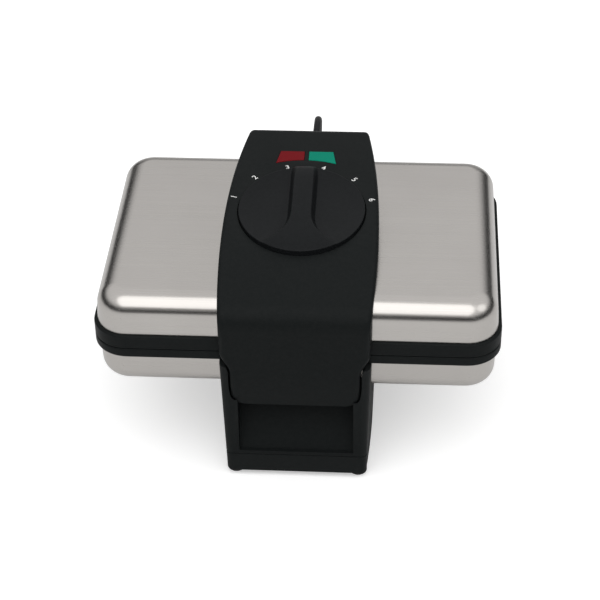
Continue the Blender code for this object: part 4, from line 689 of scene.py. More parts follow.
def settle(piece, sharp=SHARP_ANGLE):
    """Bake a piece's modifiers, then give it smooth normals weighted by face size."""
    bake(piece)
    piece.data.shade_smooth()
    piece.data.set_sharp_from_angle(angle=math.radians(sharp))
    piece.modifiers.new("even_normals", "WEIGHTED_NORMAL").keep_sharp = True
    bake(piece)
    return piece


def combine(piece, tool, operation):
    tool.hide_render = True
    step = piece.modifiers.new(operation.lower(), "BOOLEAN")
    step.operation = operation
    step.solver = "EXACT"
    step.object = tool


def cut(piece, *tools):
    for tool in tools:
        combine(piece, tool, "DIFFERENCE")


def join(piece, *tools):
    for tool in tools:
        combine(piece, tool, "UNION")


def bore(piece, name, radius, ends, place=None, steps=ROUND_STEPS):
    cut(piece, rod(name, radius, *ends, place, steps))


def stand_for(piece, body, slot, *nodes):
    """Hang a finished piece on its body, in place of the frame's nodes."""
    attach(piece, body)
    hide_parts(*nodes)
    return piece


def rounded_loop(width, depth, corner, height):
    """A rectangle with round corners round the pans' middle, at one height."""
    points = []
    corner = max(corner, GAP)
    for quarter, (side, end) in enumerate(((1, 1), (-1, 1), (-1, -1), (1, -1))):
        x = side * (width / 2 - corner)
        y = end * (depth / 2 - corner)
        for cosine, sine in arc(CORNER_STEPS, 90 * quarter):
            points.append((x + corner * cosine, y + corner * sine, height))
    return points


def inset_loop(inset, height):
    """The rings' outline, drawn in by inset."""
    width, depth = RING_WIDTH - 2 * inset, RING_DEPTH - 2 * inset
    return rounded_loop(width, depth, RING_CORNER - inset, height)


def pan_wall(shape, rim, face, grow=0.0):
    """Loops from a pan's rim to its flat face; grow swells it on every side."""
    way = 1 if face > rim else -1
    radius = shape["fillet"] + grow
    foot = abs(face + way * grow - rim) - radius
    inset = shape["inset"] - grow
    loops = [inset_loop(inset, rim)]
    for cosine, sine in arc(FILLET_STEPS):
        inward = inset + shape["draft"] + radius * (1 - cosine)
        loops.append(inset_loop(inward, rim + way * (foot + radius * sine)))
    return loops


def pan_shell(name, shape, rim, face):
    """A drawn sheet pan: outer wall, then the inner wall back to the rim."""
    outer = pan_wall(shape, rim, face)
    loops = outer + pan_wall(shape, rim, face, -PAN_WALL)[::-1]
    return loft(name, loops, "steel", split=len(outer) - 1)


def upper_pan():
    pan = pan_shell("upper_pan_shell", UPPER_PAN, RING_HIGH.z + GAP, UPPER_PAN_TOP)
    reach, back = THERMOSTAT_ROOM
    low = (-reach, -back, -CONSOLE_TOP - OVERRUN)
    cut(pan, block("thermostat_opening", low, (reach, back, KNOB_WELL_BOTTOM), knob_frame()))
    return stand_for(settle(pan), "lid", "steel", "upper_pan")


def lower_pan():
    pan = pan_shell("lower_pan_shell", LOWER_PAN, LOWER_RING_LOW.z - GAP, PAN_BOTTOM)
    return stand_for(settle(pan), "base", "steel", "lower_pan")


def ring_frame(name, face, back, node, body):
    """A moulded frame round a pan's rim, with rounded edges and a ledge inside."""
    way = 1 if back > face else -1
    flange = face + way * (PLATE_FLANGE + GAP)
    inner = RING_WALL + RING_LEDGE
    loops = []
    for end, side in ((face, way), (back, -way)):
        rim = []
        for cosine, sine in arc(EDGE_STEPS):
            height = end + side * RING_EDGE_ROUND * (1 - cosine)
            rim.append(inset_loop(RING_EDGE_ROUND * (1 - sine), height))
        loops += rim if end == face else rim[::-1]
    for inset, height in ((inner, back), (inner, flange), (RING_WALL, flange), (RING_WALL, face)):
        loops.append(inset_loop(inset, height))
    return stand_for(settle(loft(name, loops, split=None)), body, PLASTIC, node)


def middle_of(node):
    """The middle of a frame node, laid out from the pans' middle."""
    low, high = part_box(node)
    return (low + high) / 2 - PAN_MIDDLE


def upright_at(node):
    """A frame that stands on the ground under a node's middle."""
    x, y, _ = middle_of(node)
    return Matrix.Translation((x, y, 0))


def screws_of(name):
    """The frame nodes of a set of screws."""
    return SCREWS[name][2:]


def band_half(y, inset=0.0):
    """Half the black band's width at y."""
    bow = (y - BAND_WIDEST_Y) ** 2 / (2 * BAND_SIDE_RADIUS)
    return BAND_HALF_WIDTH - bow - inset


def console_height(y):
    """Height of the console's arched top at y."""
    return UPPER_PAN_TOP + CONSOLE_TOP - (y - CONSOLE_TOP_Y) ** 2 / (2 * CONSOLE_ARCH_RADIUS)


def knob_frame():
    """A frame on the console's top whose Z is the knob's axis."""
    slope = (CONSOLE_TOP_Y - KNOB_Y) / CONSOLE_ARCH_RADIUS
    place = (0, KNOB_Y, console_height(KNOB_Y))
    return Matrix.Translation(place) @ Matrix.Rotation(math.atan(slope), 4, "X")


def console_stations(wall=0.0):
    """(y, top height) pairs from the console's rear to its front, less a wall."""
    radius = CONSOLE_REAR_RADIUS - wall
    rear_middle = CONSOLE_REAR_Y - CONSOLE_REAR_RADIUS
    crown = console_height(rear_middle) - wall - radius
    steps = CORNER_STEPS - 1
    pairs = [(rear_middle + radius * c, crown + radius * s) for c, s in arc(steps)]
    radius = CONSOLE_FRONT_RADIUS - wall
    front_middle = FLAP_FRONT_Y + CONSOLE_FRONT_RADIUS
    slope = math.atan((CONSOLE_TOP_Y - front_middle) / CONSOLE_ARCH_RADIUS)
    start = front_middle - radius * math.sin(slope)
    low = console_height(start) - wall - radius * math.cos(slope)
    for step in range(1, SIDE_STEPS):
        y = rear_middle + (start - rear_middle) * step / SIDE_STEPS
        pairs.append((y, console_height(y) - wall))
    turn = math.degrees(slope)
    for cosine, sine in arc(steps, 90 + turn, 90 - turn):
        pairs.append((front_middle + radius * cosine, low + radius * sine))
    return pairs


def two_corners(half, middle, corner, turns):
    """(x, other) pairs round two corners, one on each side of the middle plane."""
    pairs = []
    for side, start in turns:
        for cosine, sine in arc(SECTION_STEPS, start, -90):
            pairs.append((side * (half - corner) + corner * cosine, middle + corner * sine))
    return pairs


def console_section(y, top, bottom, half, corner):
    """One cross-section of the console: upright sides and round upper corners."""
    corner = min(corner, (top - bottom) / 2)
    pairs = two_corners(half, top - corner, corner, ((-1, 180), (1, 90)))
    return [(x, y, z) for x, z in [(-half, bottom), *pairs, (half, bottom)]]


def console_body(name, wall, bottom):
    corner = CONSOLE_EDGE_ROUND - wall / 2
    loops = []
    for y, top in console_stations(wall):
        depth = max(min(y - FLAP_FRONT_Y - wall, corner), 0)
        narrow = corner - math.sqrt(corner**2 - (corner - depth) ** 2)
        loops.append(console_section(y, top, bottom, band_half(y, wall) - narrow, corner))
    return loft(name, loops)


def tongue_stations():
    """(height, half width, front sweep) from inside the console to the tip."""
    full = band_half(FLAP_FRONT_Y)
    shoulder_top = RING_HIGH.z - TONGUE_SHOULDER / 3
    crease = TONGUE_TIP + TONGUE_SHOULDER
    stations = [(RING_HIGH.z + CONSOLE_FRONT_RADIUS / 2, full, 0)]
    for step in range(SHOULDER_STEPS + 1):
        share = step / SHOULDER_STEPS
        half = full + (TONGUE_HALF_WIDTH - full) * ease(share)
        stations.append((shoulder_top - TONGUE_SHOULDER * share, half, 0))
    stations.append((crease, TONGUE_HALF_WIDTH, 0))
    for cosine, sine in arc(TIP_STEPS):
        height = TONGUE_TIP + TONGUE_CORNER * (1 - sine)
        half = TONGUE_HALF_WIDTH - TONGUE_CORNER * (1 - cosine)
        sweep = TONGUE_SWEEP * (crease - height) / (crease - TONGUE_TIP)
        stations.append((height, half, sweep))
    return stations


def flap_section(height, half, front, back, corner):
    """One cross-section of the flap: round front corners, square back ones."""
    pairs = two_corners(half, front + corner, corner, ((1, 0), (-1, 270)))
    return [(x, y, height) for x, y in [(half, back), *pairs, (-half, back)]]


def flap_body(name, wall, back):
    """The flap with its tongue, drawn in by a wall, or grown where it is negative."""
    loops = []
    corner = GAP if wall > 0 else CONSOLE_EDGE_ROUND
    for height, half, sweep in tongue_stations():
        height = max(height, TONGUE_TIP + wall)
        front = FLAP_FRONT_Y + sweep + wall
        if not loops or height < loops[-1][0][2]:
            loops.append(flap_section(height, half - wall, front, back, corner))
    if wall < 0:
        loops.append([(x, y, TONGUE_TIP + wall) for x, y, _ in loops[-1]])
    return loft(name, loops)


def seat_tool(name, shape, rim, face, past_rim):
    """A grown pan as a tool, carried straight on past its rim."""
    loops = pan_wall(shape, rim, face, GAP)
    rim_loop = [(x, y, z + past_rim) for x, y, z in loops[0]]
    return loft(name, [rim_loop] + loops)


def lens_place():
    """A frame on the console's top at the lenses' rear edge, Y up its slope."""
    front = KNOB_Y + math.sqrt(LENS_ARC_RADIUS**2 - LENS_FRONT_X**2)
    high = console_height(LENS_REAR_Y)
    slope = math.atan((high - console_height(front)) / (LENS_REAR_Y - front))
    return Matrix.Translation((0, LENS_REAR_Y, high)) @ Matrix.Rotation(slope, 4, "X")


def lens_prism(name, side, clearance, low, high, slot=PLASTIC):
    """The bow-shaped lens outline beside the middle, from low up to high."""
    near, far = LENS_MIDDLE_GAP + clearance, LENS_FRONT_X - clearance
    outline = [(near, -clearance), (LENS_REAR_X - clearance, -clearance)]
    for step in range(FILLET_STEPS + 1):
        x = far + (near - far) * step / FILLET_STEPS
        y = KNOB_Y + math.sqrt(LENS_ARC_RADIUS**2 - x**2) + clearance
        outline.append((x, y - LENS_REAR_Y))
    loops = [[(side * x, y, z) for x, y in outline] for z in (low, high)]
    return loft(name, loops, slot, lens_place())


def soften(piece, width):
    """Round a piece's hard edges."""
    step = piece.modifiers.new("soft_edges", "BEVEL")
    step.width = width
    step.segments = 2
    step.limit_method = "ANGLE"
    step.angle_limit = math.radians(SOFT_ANGLE)
    step.use_clamp_overlap = True


def lens(name, side, slot):
    made = lens_prism(name, side, GAP, LENS_PROUD - LENS_THICKNESS, LENS_PROUD, slot)
    soften(made, LENS_PROUD)
    return stand_for(settle(made), "lid", slot, slot)


def console():
    """The band over the lid, with the flap that ends in the handle's tongue."""
    bottom = RING_HIGH.z + GAP
    cover = console_body("console_shell", 0.0, bottom)
    join(cover, flap_body("flap_outside", 0.0, FLAP_BACK_Y))
    cut(cover, console_body("console_hollow", CONSOLE_WALL, bottom - OVERRUN))
    cut(cover, flap_body("flap_hollow", CONSOLE_WALL, FLAP_BACK_Y + OVERRUN))
    cut(cover, seat_tool("pan_seat", UPPER_PAN, bottom, UPPER_PAN_TOP, -OVERRUN))
    place = knob_frame()
    outer = KNOB_RADIUS + KNOB_WELL_GAP
    wall = (outer + KNOB_WELL_FLOOR, KNOB_WELL_BOTTOM, -KNOB_WELL_FLOOR)
    join(cover, rod("well_wall", *wall, place, 2 * ROUND_STEPS))
    bore(cover, "well", outer, (-KNOB_WELL_DEPTH, CONSOLE_TOP), place, 2 * ROUND_STEPS)
    ends = (KNOB_WELL_BOTTOM - OVERRUN, CONSOLE_TOP)
    bore(cover, "shaft_hole", SHAFT_RADIUS + SHAFT_HOLE_GAP, ends, place)
    for side in (-1, 1):
        cut(cover, lens_prism(f"lens_window_{side + 1}", side, 0.0, -OVERRUN, OVERRUN))
    start = FLAP_FRONT_Y + CONSOLE_WALL - GAP
    end = middle_of("handle_back").y - HANDLE_BACK_THICKNESS / 2 - GAP
    for node in screws_of("handle_screw_set"):
        x, _, height = middle_of(node)
        place = along_y((x, 0, height))
        join(cover, rod(f"{node}_boss", PILLAR_RADIUS, start, end, place))
        ends = (start + CONSOLE_WALL / 2, end + OVERRUN)
        bore(cover, f"{node}_bore", SCREW_RADIUS + GAP, ends, place)
    for node in screws_of("hinge_screw_set"):
        x, _, height = middle_of(node)
        place = along_y((x, CONSOLE_REAR_Y, height))
        bore(cover, f"{node}_bore", SCREW_RADIUS + GAP, (-OVERRUN, OVERRUN), place)
    return stand_for(settle(cover), "lid", PLASTIC, "console_cover")


def ridge_rise(x, y):
    """How much of the ridge stands at a place on the knob's face, from 0 to 1."""
    flare = max(0.0, -RIDGE_FLARE_START - y / KNOB_RADIUS) / (1 - RIDGE_FLARE_START)
    half = RIDGE_HALF_WIDTH + RIDGE_FLARE * flare**RIDGE_FLARE_POWER
    return ease(1 - (abs(x) - half) / RIDGE_SIDE)


def knob_top(x, y):
    """Height of the knob's face over the console, in the knob's own frame."""
    along = max(0.0, 1 + y / KNOB_RADIUS) / 2
    ridge = RIDGE_FRONT_HEIGHT + (RIDGE_HEIGHT - RIDGE_FRONT_HEIGHT) * along**RIDGE_FALL_POWER
    rise = ridge_rise(x, y)
    edge = math.hypot(x, y) / KNOB_RADIUS
    scoop = -KNOB_SCOOP * max(0.0, 1 - edge**KNOB_SCOOP_POWER)
    fall = 1 - RIDGE_END_FALL * edge**RIDGE_END_POWER
    return KNOB_RISE + scoop * (1 - rise) + ridge * rise * fall


def control_knob():
    """A dished knob with a pointer ridge that fans out to its front rim."""
    inner = KNOB_RADIUS - KNOB_WALL
    roof = KNOB_RISE - KNOB_SCOOP - KNOB_ROOF
    bore_radius = SHAFT_RADIUS + GAP
    face = KNOB_RADIUS - KNOB_EDGE_ROUND
    sectors = KNOB_SECTORS
    rows = [circle(face * ring / KNOB_RINGS, sectors, knob_top) for ring in range(1, KNOB_RINGS + 1)]
    for cosine, sine in arc(EDGE_STEPS)[1:]:
        drop = KNOB_EDGE_ROUND * (1 - cosine)
        row = circle(face + KNOB_EDGE_ROUND * sine, sectors, knob_top)
        rows.append([(x, y, z - drop) for x, y, z in row])
    for radius, height in (
        (KNOB_RADIUS, -KNOB_SKIRT),
        (inner, -KNOB_SKIRT),
        (inner, roof),
        (KNOB_HUB_RADIUS, roof),
        (KNOB_HUB_RADIUS, -KNOB_SKIRT),
        (bore_radius, -KNOB_SKIRT),
        (bore_radius, KNOB_RISE - KNOB_SCOOP),
    ):
        rows.append(circle(radius, sectors, height))
    points = [(0, 0, knob_top(0, 0))] + [point for row in rows for point in row]
    starts = [1 + number * sectors for number in range(len(rows))]
    faces = [(0, 1 + step, 1 + (step + 1) % sectors) for step in range(sectors)]
    for here, there in zip(starts, starts[1:]):
        faces += band(here, there, sectors)
    faces.append(tuple(range(starts[-1], starts[-1] + sectors)))
    made = mesh_from("knob_body", points, faces, "knob_plastic", knob_frame())
    return stand_for(settle(made, ROUND_SHARP_ANGLE), "knob", "knob_plastic", "control_knob")


def dial_numbers():
    """White numbers round the knob, laid on the console's arch."""
    for number, word in enumerate(DIAL_NUMBERS):
        turn = DIAL_STEP * ((len(DIAL_NUMBERS) - 1) / 2 - number)
        text = bpy.data.curves.new(f"dial_text_{word}", "FONT")
        text.body = word
        text.size = DIAL_SIZE
        text.align_x = text.align_y = "CENTER"
        text.offset = DIAL_SIZE * PRINT_SWELL_SHARE
        text.extrude = PRINT_THICKNESS
        shape = show(f"dial_text_{word}", text)
        mesh = evaluated(shape)
        bpy.data.objects.remove(shape)
        depths = [corner.co.z for corner in mesh.vertices]
        spin = Matrix.Rotation(math.radians(turn), 4, "Z")
        mesh.transform(knob_frame() @ spin @ Matrix.Translation((0, DIAL_RADIUS, 0)))
        for corner, depth in zip(mesh.vertices, depths):
            corner.co.z = console_height(corner.co.y) + depth
        mesh.transform(Matrix.Translation(PAN_MIDDLE))
        mesh.materials.clear()
        mesh.materials.append(finishes["print"])
        made = show(f"dial_number_{word}", mesh)
        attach(made, "lid")


def stand_loop(height, inset):
    """The stand's outline at a height, drawn in by inset."""
    rise = (height - STAND_BOTTOM) / (LOWER_RING_LOW.z - STAND_BOTTOM)
    share = STAND_TAPER_SHARE + (1 - STAND_TAPER_SHARE) * rise
    corner = max(STAND_CORNER - inset, GAP)
    front = STAND_FRONT_Y + inset + corner
    rear = TOWER_REAR_Y - inset - corner
    half = band_half(front) * share - inset - corner
    side = [(half + corner * c, front + corner * s) for c, s in arc(FILLET_STEPS, -90)]
    for step in range(1, SIDE_STEPS):
        y = front + (rear - front) * step / SIDE_STEPS
        side.append((band_half(y) * share - inset, y))
    half = band_half(rear) * share - inset - corner
    side += [(half + corner * c, rear + corner * s) for c, s in arc(FILLET_STEPS)]
    return [(x, y, height) for x, y in side + [(-x, y) for x, y in reversed(side)]]


def seam_loops(seam, rest):
    """Loops that round a shell's edge at the seam, then run on to rest."""
    way = 1 if rest > seam else -1
    loops = []
    for cosine, sine in arc(SEAM_STEPS):
        height = seam + way * SEAM_ROUND * (1 - cosine)
        loops.append(stand_loop(height, SEAM_ROUND * (1 - sine)))
    return loops + [stand_loop(rest, 0)]


def recess_tool(name, grow):
    """The finger recess in the stand's front, grown by grow behind its walls."""
    half = RECESS_HALF_WIDTH + grow
    sill = STAND_BOTTOM + RECESS_SILL - grow
    front = STAND_FRONT_Y + (STAND_WALL / 2 if grow else -OVERRUN)
    top = PAN_BOTTOM + (-STAND_WALL if grow else OVERRUN)
    back = STAND_FRONT_Y + grow
    outline = [(front, sill), (back + RECESS_DEPTH_SILL, sill)]
    outline += [(back + RECESS_DEPTH_TOP, top), (front, top)]
    return loft(name, [[(x, y, z) for y, z in outline] for x in (-half, half)])


def tower_tools():
    """Solids that raise the tower behind the rings, with the pin's two ears."""
    low = LOWER_RING_LOW.z - STAND_CORNER
    top = HINGE_Z - BARREL_RADIUS - GAP - TOWER_TOP_GAP
    start = (-EAR_OUTER_X, TOWER_FRONT_Y, low)
    solids = [block("tower", start, (EAR_OUTER_X, TOWER_REAR_Y, top))]
    for side in (-1, 1):
        low_x, high_x = sorted((side * EAR_INNER_X, side * EAR_OUTER_X))
        start = (low_x, TOWER_FRONT_Y, top - OVERRUN)
        end = (high_x, TOWER_REAR_Y, HINGE_Z)
        solids.append(block(f"tower_upright_{side + 1}", start, end))
        place = along_x((0, HINGE_Y, HINGE_Z))
        solids.append(rod(f"ear_{side + 1}", BARREL_RADIUS, low_x, high_x, place))
    return solids


def stand():
    """The hollow stand with its finger recess, deck and rear tower."""
    split = TRAY_HIGH.z + GAP
    shell = loft("stand_body", seam_loops(split, LOWER_RING_LOW.z - CHEEK_TOP_GAP))
    deck = PAN_BOTTOM - GAP - STAND_WALL
    loops = [stand_loop(height, STAND_WALL) for height in (split - OVERRUN, deck)]
    cut(shell, loft("stand_hollow", loops))
    join(shell, recess_tool("recess_wall", STAND_WALL), *tower_tools())
    cut(shell, recess_tool("recess", 0))
    rim = LOWER_RING_LOW.z - GAP
    cut(shell, seat_tool("stand_seat", LOWER_PAN, rim, PAN_BOTTOM, OVERRUN))
    cut(shell, flap_body("tongue_space", -SLIDE_GAP, FLAP_BACK_Y + 2 * OVERRUN))
    start = (-EAR_INNER_X, TOWER_FRONT_Y + TOWER_WALL, deck - OVERRUN)
    top = HINGE_Z - BARREL_RADIUS - TOWER_WALL - OVERRUN
    cut(shell, block("tower_hollow", start, (EAR_INNER_X, TOWER_REAR_Y - TOWER_WALL, top)))
    floor = STAND_LOW.z
    for node in screws_of("base_screw_set"):
        place = upright_at(node)
        end = deck + STAND_WALL / 2
        join(shell, rod(f"{node}_pillar", PILLAR_RADIUS, floor, end, place))
        ends = (floor - OVERRUN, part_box(node)[1].z + GAP)
        bore(shell, f"{node}_bore", SCREW_RADIUS + GAP, ends, place)
    reach = EAR_OUTER_X + OVERRUN
    bore(shell, "ear_bore", PIN_RADIUS + GAP, (-reach, reach), along_x((0, HINGE_Y, HINGE_Z)))
    ends = (-TOWER_WALL - OVERRUN / 2, OVERRUN)
    bore(shell, "cord_hole", BOOT_NECK_RADIUS + GAP, ends, along_y((0, TOWER_REAR_Y, CORD_EXIT_Z)))
    return stand_for(settle(shell), "base", PLASTIC, "stand_shell")


def tray():
    """The tray that closes the stand below, flush with its walls."""
    made = loft("tray_body", seam_loops(TRAY_HIGH.z, STAND_BOTTOM)[::-1])
    floor = STAND_BOTTOM + STAND_WALL
    loops = [stand_loop(height, STAND_WALL) for height in (floor, TRAY_HIGH.z + OVERRUN)]
    cut(made, loft("tray_hollow", loops))
    ends = (STAND_BOTTOM - OVERRUN, floor + OVERRUN)
    holes = [(node, SCREW_RADIUS) for node in screws_of("base_screw_set")]
    for node, radius in holes + [(node, FOOT_STUD_RADIUS) for node in FEET]:
        bore(made, f"{node}_hole", radius + GAP, ends, upright_at(node))
    return stand_for(settle(made), "base", PLASTIC, "base_tray")


def smooth_route(points, spacing):
    """A smooth curve through given points, read at an even spacing."""
    points = [Vector(point) for point in points]
    ends = [points[0] * 2 - points[1]] + points + [points[-1] * 2 - points[-2]]
    fine = []
    for before, first, second, after in zip(ends, ends[1:], ends[2:], ends[3:]):
        for step in range(CORD_SAMPLES):
            t = step / CORD_SAMPLES
            straight = 2 * first + (second - before) * t
            bend = (2 * before - 5 * first + 4 * second - after) * t**2
            twist = (3 * first - before - 3 * second + after) * t**3
            fine.append((straight + bend + twist) / 2)
    fine.append(points[-1])
    lengths = [0.0]
    for first, second in zip(fine, fine[1:]):
        lengths.append(lengths[-1] + (second - first).length)
    count = round(lengths[-1] / spacing)
    even = []
    place = 0
    for step in range(count + 1):
        goal = lengths[-1] * step / count
        while place < len(fine) - 2 and lengths[place + 1] < goal:
            place += 1
        share = (goal - lengths[place]) / (lengths[place + 1] - lengths[place])
        even.append(fine[place].lerp(fine[place + 1], share))
    return even


def coil_points():
    """In to the reversal and out again, a layer higher, then the plug's tail."""
    points = [Vector((COIL_X + 2 * CORD_RADIUS, COIL_Y + COIL_RADIUS, COIL_HEIGHT))]
    half = COIL_TURNS / 2
    for step in range(round(COIL_TURNS * COIL_STEPS) + 1):
        turn = step / COIL_STEPS
        radius = COIL_RADIUS - COIL_PITCH * (half - abs(turn - half))
        climb = COIL_LAYER * ease((turn - half) * 2 + 0.5)
        angle = math.tau * turn + math.radians(90)
        x = COIL_X + radius * math.cos(angle)
        y = COIL_Y + radius * math.sin(angle)
        points.append(Vector((x, y, COIL_HEIGHT + climb)))
    start = points[-1]
    rise = PLUG_AXIS_HEIGHT - start.z
    first, last = TAIL_SHARES[0], TAIL_SHARES[-2]
    for share in TAIL_SHARES:
        lift = rise * ease((share - first) / (last - first))
        points.append(start + Vector((COIL_TAIL * share, 0, lift)))
    return points


def lead_points():
    """The whole lead: out of the boot, down behind the stand, round the coil."""
    start = TOWER_REAR_Y + BOOT_LENGTH + 2 * GAP
    end_x = COIL_X + 2 * CORD_RADIUS + GAP
    end_y = COIL_Y + COIL_RADIUS
    route = [
        (0.0, start, CORD_EXIT_Z),
        (0.0, start + 2 * CORD_RADIUS, CORD_EXIT_Z),
        *CORD_ROUTE,
        (end_x + 2 * CORD_RADIUS, end_y, COIL_HEIGHT),
        (end_x, end_y, COIL_HEIGHT),
    ]
    points = smooth_route(route, CORD_SPACING)[:-1] + coil_points()
    return [point + PAN_MIDDLE for point in points]


def smooth_lead(name, points):
    """A round lead through the points, with soft bends between them."""
    line = bpy.data.curves.new(name, "CURVE")
    line.dimensions = "3D"
    line.bevel_depth = CORD_RADIUS
    line.bevel_resolution = line.resolution_u = 4
    line.use_fill_caps = True
    spline = line.splines.new("BEZIER")
    spline.bezier_points.add(len(points) - 1)
    for slot, point in zip(spline.bezier_points, points):
        slot.co = point
        slot.handle_left_type = slot.handle_right_type = "AUTO"
    line.materials.append(finishes["cord"])
    return show(name, line)


def strain_relief():
    """The tapered boot on the tower, with its ribs."""
    place = along_y((0, TOWER_REAR_Y + GAP, CORD_EXIT_Z))
    inner = CORD_RADIUS + GAP / 2
    profile = [(inner, -STAND_WALL), (BOOT_FLANGE_RADIUS, 0), (BOOT_FLANGE_RADIUS, BOOT_FLANGE)]
    for step in range(BOOT_RIBS * BOOT_RIB_STEPS):
        share = step % BOOT_RIB_STEPS / BOOT_RIB_STEPS
        slim = step / (BOOT_RIBS * BOOT_RIB_STEPS)
        radius = BOOT_ROOT_RADIUS + (BOOT_TIP_RADIUS - BOOT_ROOT_RADIUS) * slim
        groove = BOOT_RIB_RADIUS * (1 - math.sin(math.pi * share)) * (1 - slim / 2)
        profile.append((radius - groove, BOOT_FLANGE + (BOOT_LENGTH - BOOT_FLANGE) * slim))
    profile += [(BOOT_TIP_RADIUS - GAP, BOOT_LENGTH), (inner, BOOT_LENGTH)]
    loops = [circle(radius, ROUND_STEPS, height) for radius, height in profile]
    made = loft("boot", loops, "rubber", place, split=None)
    return stand_for(settle(made, ROUND_SHARP_ANGLE), "base", "rubber", "strain_relief")


def plug():
    """A round moulded plug with a fluted grip, pins towards +X."""
    start = COIL_X + COIL_TAIL + GAP
    end = PLUG_BOOT + PLUG_BODY
    profile = [(CORD_RADIUS + GAP, 0), (PLUG_BOOT_RADIUS, GAP), (PLUG_NECK_RADIUS, PLUG_BOOT)]
    for width_share, length_share in PLUG_SHARES:
        profile.append((PLUG_BODY_RADIUS * width_share, PLUG_BOOT + PLUG_BODY * length_share))
    profile += [(PLUG_BODY_RADIUS, end - GAP * 3), (PLUG_BODY_RADIUS - GAP * 3, end)]
    loops = []
    for radius, height in profile:
        loop = []
        grip = PLUG_GRIP_DEPTH if radius > PLUG_NECK_RADIUS else 0
        for cosine, sine in arc(2 * ROUND_STEPS, 0, 360)[:-1]:
            flute = 1 - math.cos(PLUG_GRIPS * math.atan2(sine, cosine))
            reach = radius - grip * flute / 2
            loop.append((reach * cosine, reach * sine, height))
        loops.append(loop)
    y = COIL_Y - COIL_RADIUS
    made = loft("plug_shell", loops, "rubber", along_x((start, y, PLUG_AXIS_HEIGHT)))
    for side in (-1, 1):
        place = along_x((start + end, y + side * PLUG_PIN_SPREAD, PLUG_AXIS_HEIGHT))
        ends = (-PLUG_PIN_ROOT, OVERRUN)
        bore(made, f"pin_hole_{side + 1}", PLUG_PIN_RADIUS + GAP, ends, place)
    return stand_for(settle(made), "base", "rubber", "plug_body")


def softened(node, width):
    """A copy of a frame node, merged, with its edges rounded, that stands for it."""
    source = frame["nodes"][node]
    mesh = source.data.copy()
    shell = bmesh.new()
    shell.from_mesh(mesh)
    bmesh.ops.remove_doubles(shell, verts=shell.verts, dist=MERGE_DISTANCE)
    flat = math.radians(FLAT_ANGLE)
    bmesh.ops.dissolve_limit(shell, angle_limit=flat, verts=shell.verts, edges=shell.edges)
    shell.to_mesh(mesh)
    shell.free()
    slot = mesh.materials[0].name.split(".")[0]
    mesh.materials.clear()
    mesh.materials.append(finishes[slot])
    made = show(f"{node}_piece", mesh)
    soften(made, width)
    return stand_for(settle(made), source["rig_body"], slot, node)


def lead():
    """The mains lead with its boot, tie, plug and pins."""
    points = lead_points()
    made = smooth_lead("mains_lead", points)
    stand_for(made, "base", "cord", "power_cord", "cord_coil")
    tie = softened("cord_tie", GAP)
    pins = [softened(f"plug_pin_{word}", GAP) for word in ("left", "right")]
    with_pieces = [strain_relief(), tie, plug(), *pins]


def waffle_base(name, face, way):
    """A cast plate with two slice-shaped pits, without their studs."""
    flange = RING_WALL + GAP
    body = flange + RING_LEDGE
    ledge = face - way * PLATE_FLANGE
    back = face - way * (CAVITY_DEPTH + PLATE_FLOOR)
    rims = ((flange, face), (flange, ledge), (body, ledge), (body, back))
    plate = loft(name, [inset_loop(inset, height) for inset, height in rims], "nonstick")
    for side in (-1, 1):
        pit = []
        middle = side * (SLICE_WIDTH + MIDDLE_LAND) / 2
        for height, draft in ((-CAVITY_DEPTH, SLICE_DRAFT), (0, 0), (OVERRUN, 0)):
            width, depth = SLICE_WIDTH - 2 * draft, SLICE_DEPTH - 2 * draft
            loop = rounded_loop(width, depth, SLICE_CORNER, face + way * height)
            pit.append([(x + middle, y, z) for x, y, z in loop])
        cut(plate, loft(f"{name}_pit_{side + 1}", pit))
    return plate


def move(tree, shape, **how):
    """Turn or shift a shape in a geometry tree."""
    return put(tree, "GeometryNodeTransform", {"Geometry": shape, **how})


def geometry_tree(name, sizes, kinds):
    """A geometry group that takes a mesh, named sizes, and inputs of other kinds."""
    inputs = {"Geometry": "Geometry", **dict.fromkeys(sizes, "Float"), **kinds}
    inputs["Finish"] = "Material"
    return new_tree(name, inputs, {"Geometry": "Geometry"}, "Geometry")


def seal(tree, start, end, parts):
    """Join parts, realise their instances, and give them the finish."""
    whole = put(tree, "GeometryNodeJoinGeometry", {"Geometry": parts})
    real = put(tree, "GeometryNodeRealizeInstances", {"Geometry": whole})
    done = {"Geometry": real, "Material": start["Finish"]}
    feed(tree, end, {"Geometry": put(tree, "GeometryNodeSetMaterial", done)})
    return tree


def stud_tree():
    """Rows of blunt pyramids on a plate, from named sizes."""
    sizes = ("Field Width", "Field Depth", "Base", "Top", "Height")
    sizes += ("Middle X", "Middle Y", "Floor", "Way")
    kinds = {"Columns": "Int", "Rows": "Int"}
    tree, start, end = geometry_tree("waffle_studs", sizes, kinds)
    grid = {"Size X": start["Field Width"], "Size Y": start["Field Depth"]}
    grid.update({"Vertices X": start["Columns"], "Vertices Y": start["Rows"]})
    cone = {"Vertices": 4, "Depth": start["Height"]}
    for socket, label in (("Radius Bottom", "Base"), ("Radius Top", "Top")):
        cone[socket] = reckon(tree, start[label], "MULTIPLY", math.sqrt(0.5))
    half_turn = reckon(tree, reckon(tree, 1.0, "SUBTRACT", start["Way"]), "MULTIPLY", math.pi / 2)
    stud = put(tree, "GeometryNodeMeshCone", cone)
    stud = move(tree, stud, Rotation=(0, 0, math.pi / 4))
    stud = move(tree, stud, Rotation=vector(tree, half_turn, 0.0, 0.0))
    rows = {"Points": put(tree, "GeometryNodeMeshGrid", grid), "Instance": stud}
    rows = put(tree, "GeometryNodeInstanceOnPoints", rows)
    fields = []
    for side in (-1.0, 1.0):
        across = reckon(tree, start["Middle X"], "MULTIPLY", side)
        place = vector(tree, across, start["Middle Y"], start["Floor"])
        fields.append(move(tree, rows, Translation=place))
    return seal(tree, start, end, fields + [start["Geometry"]])


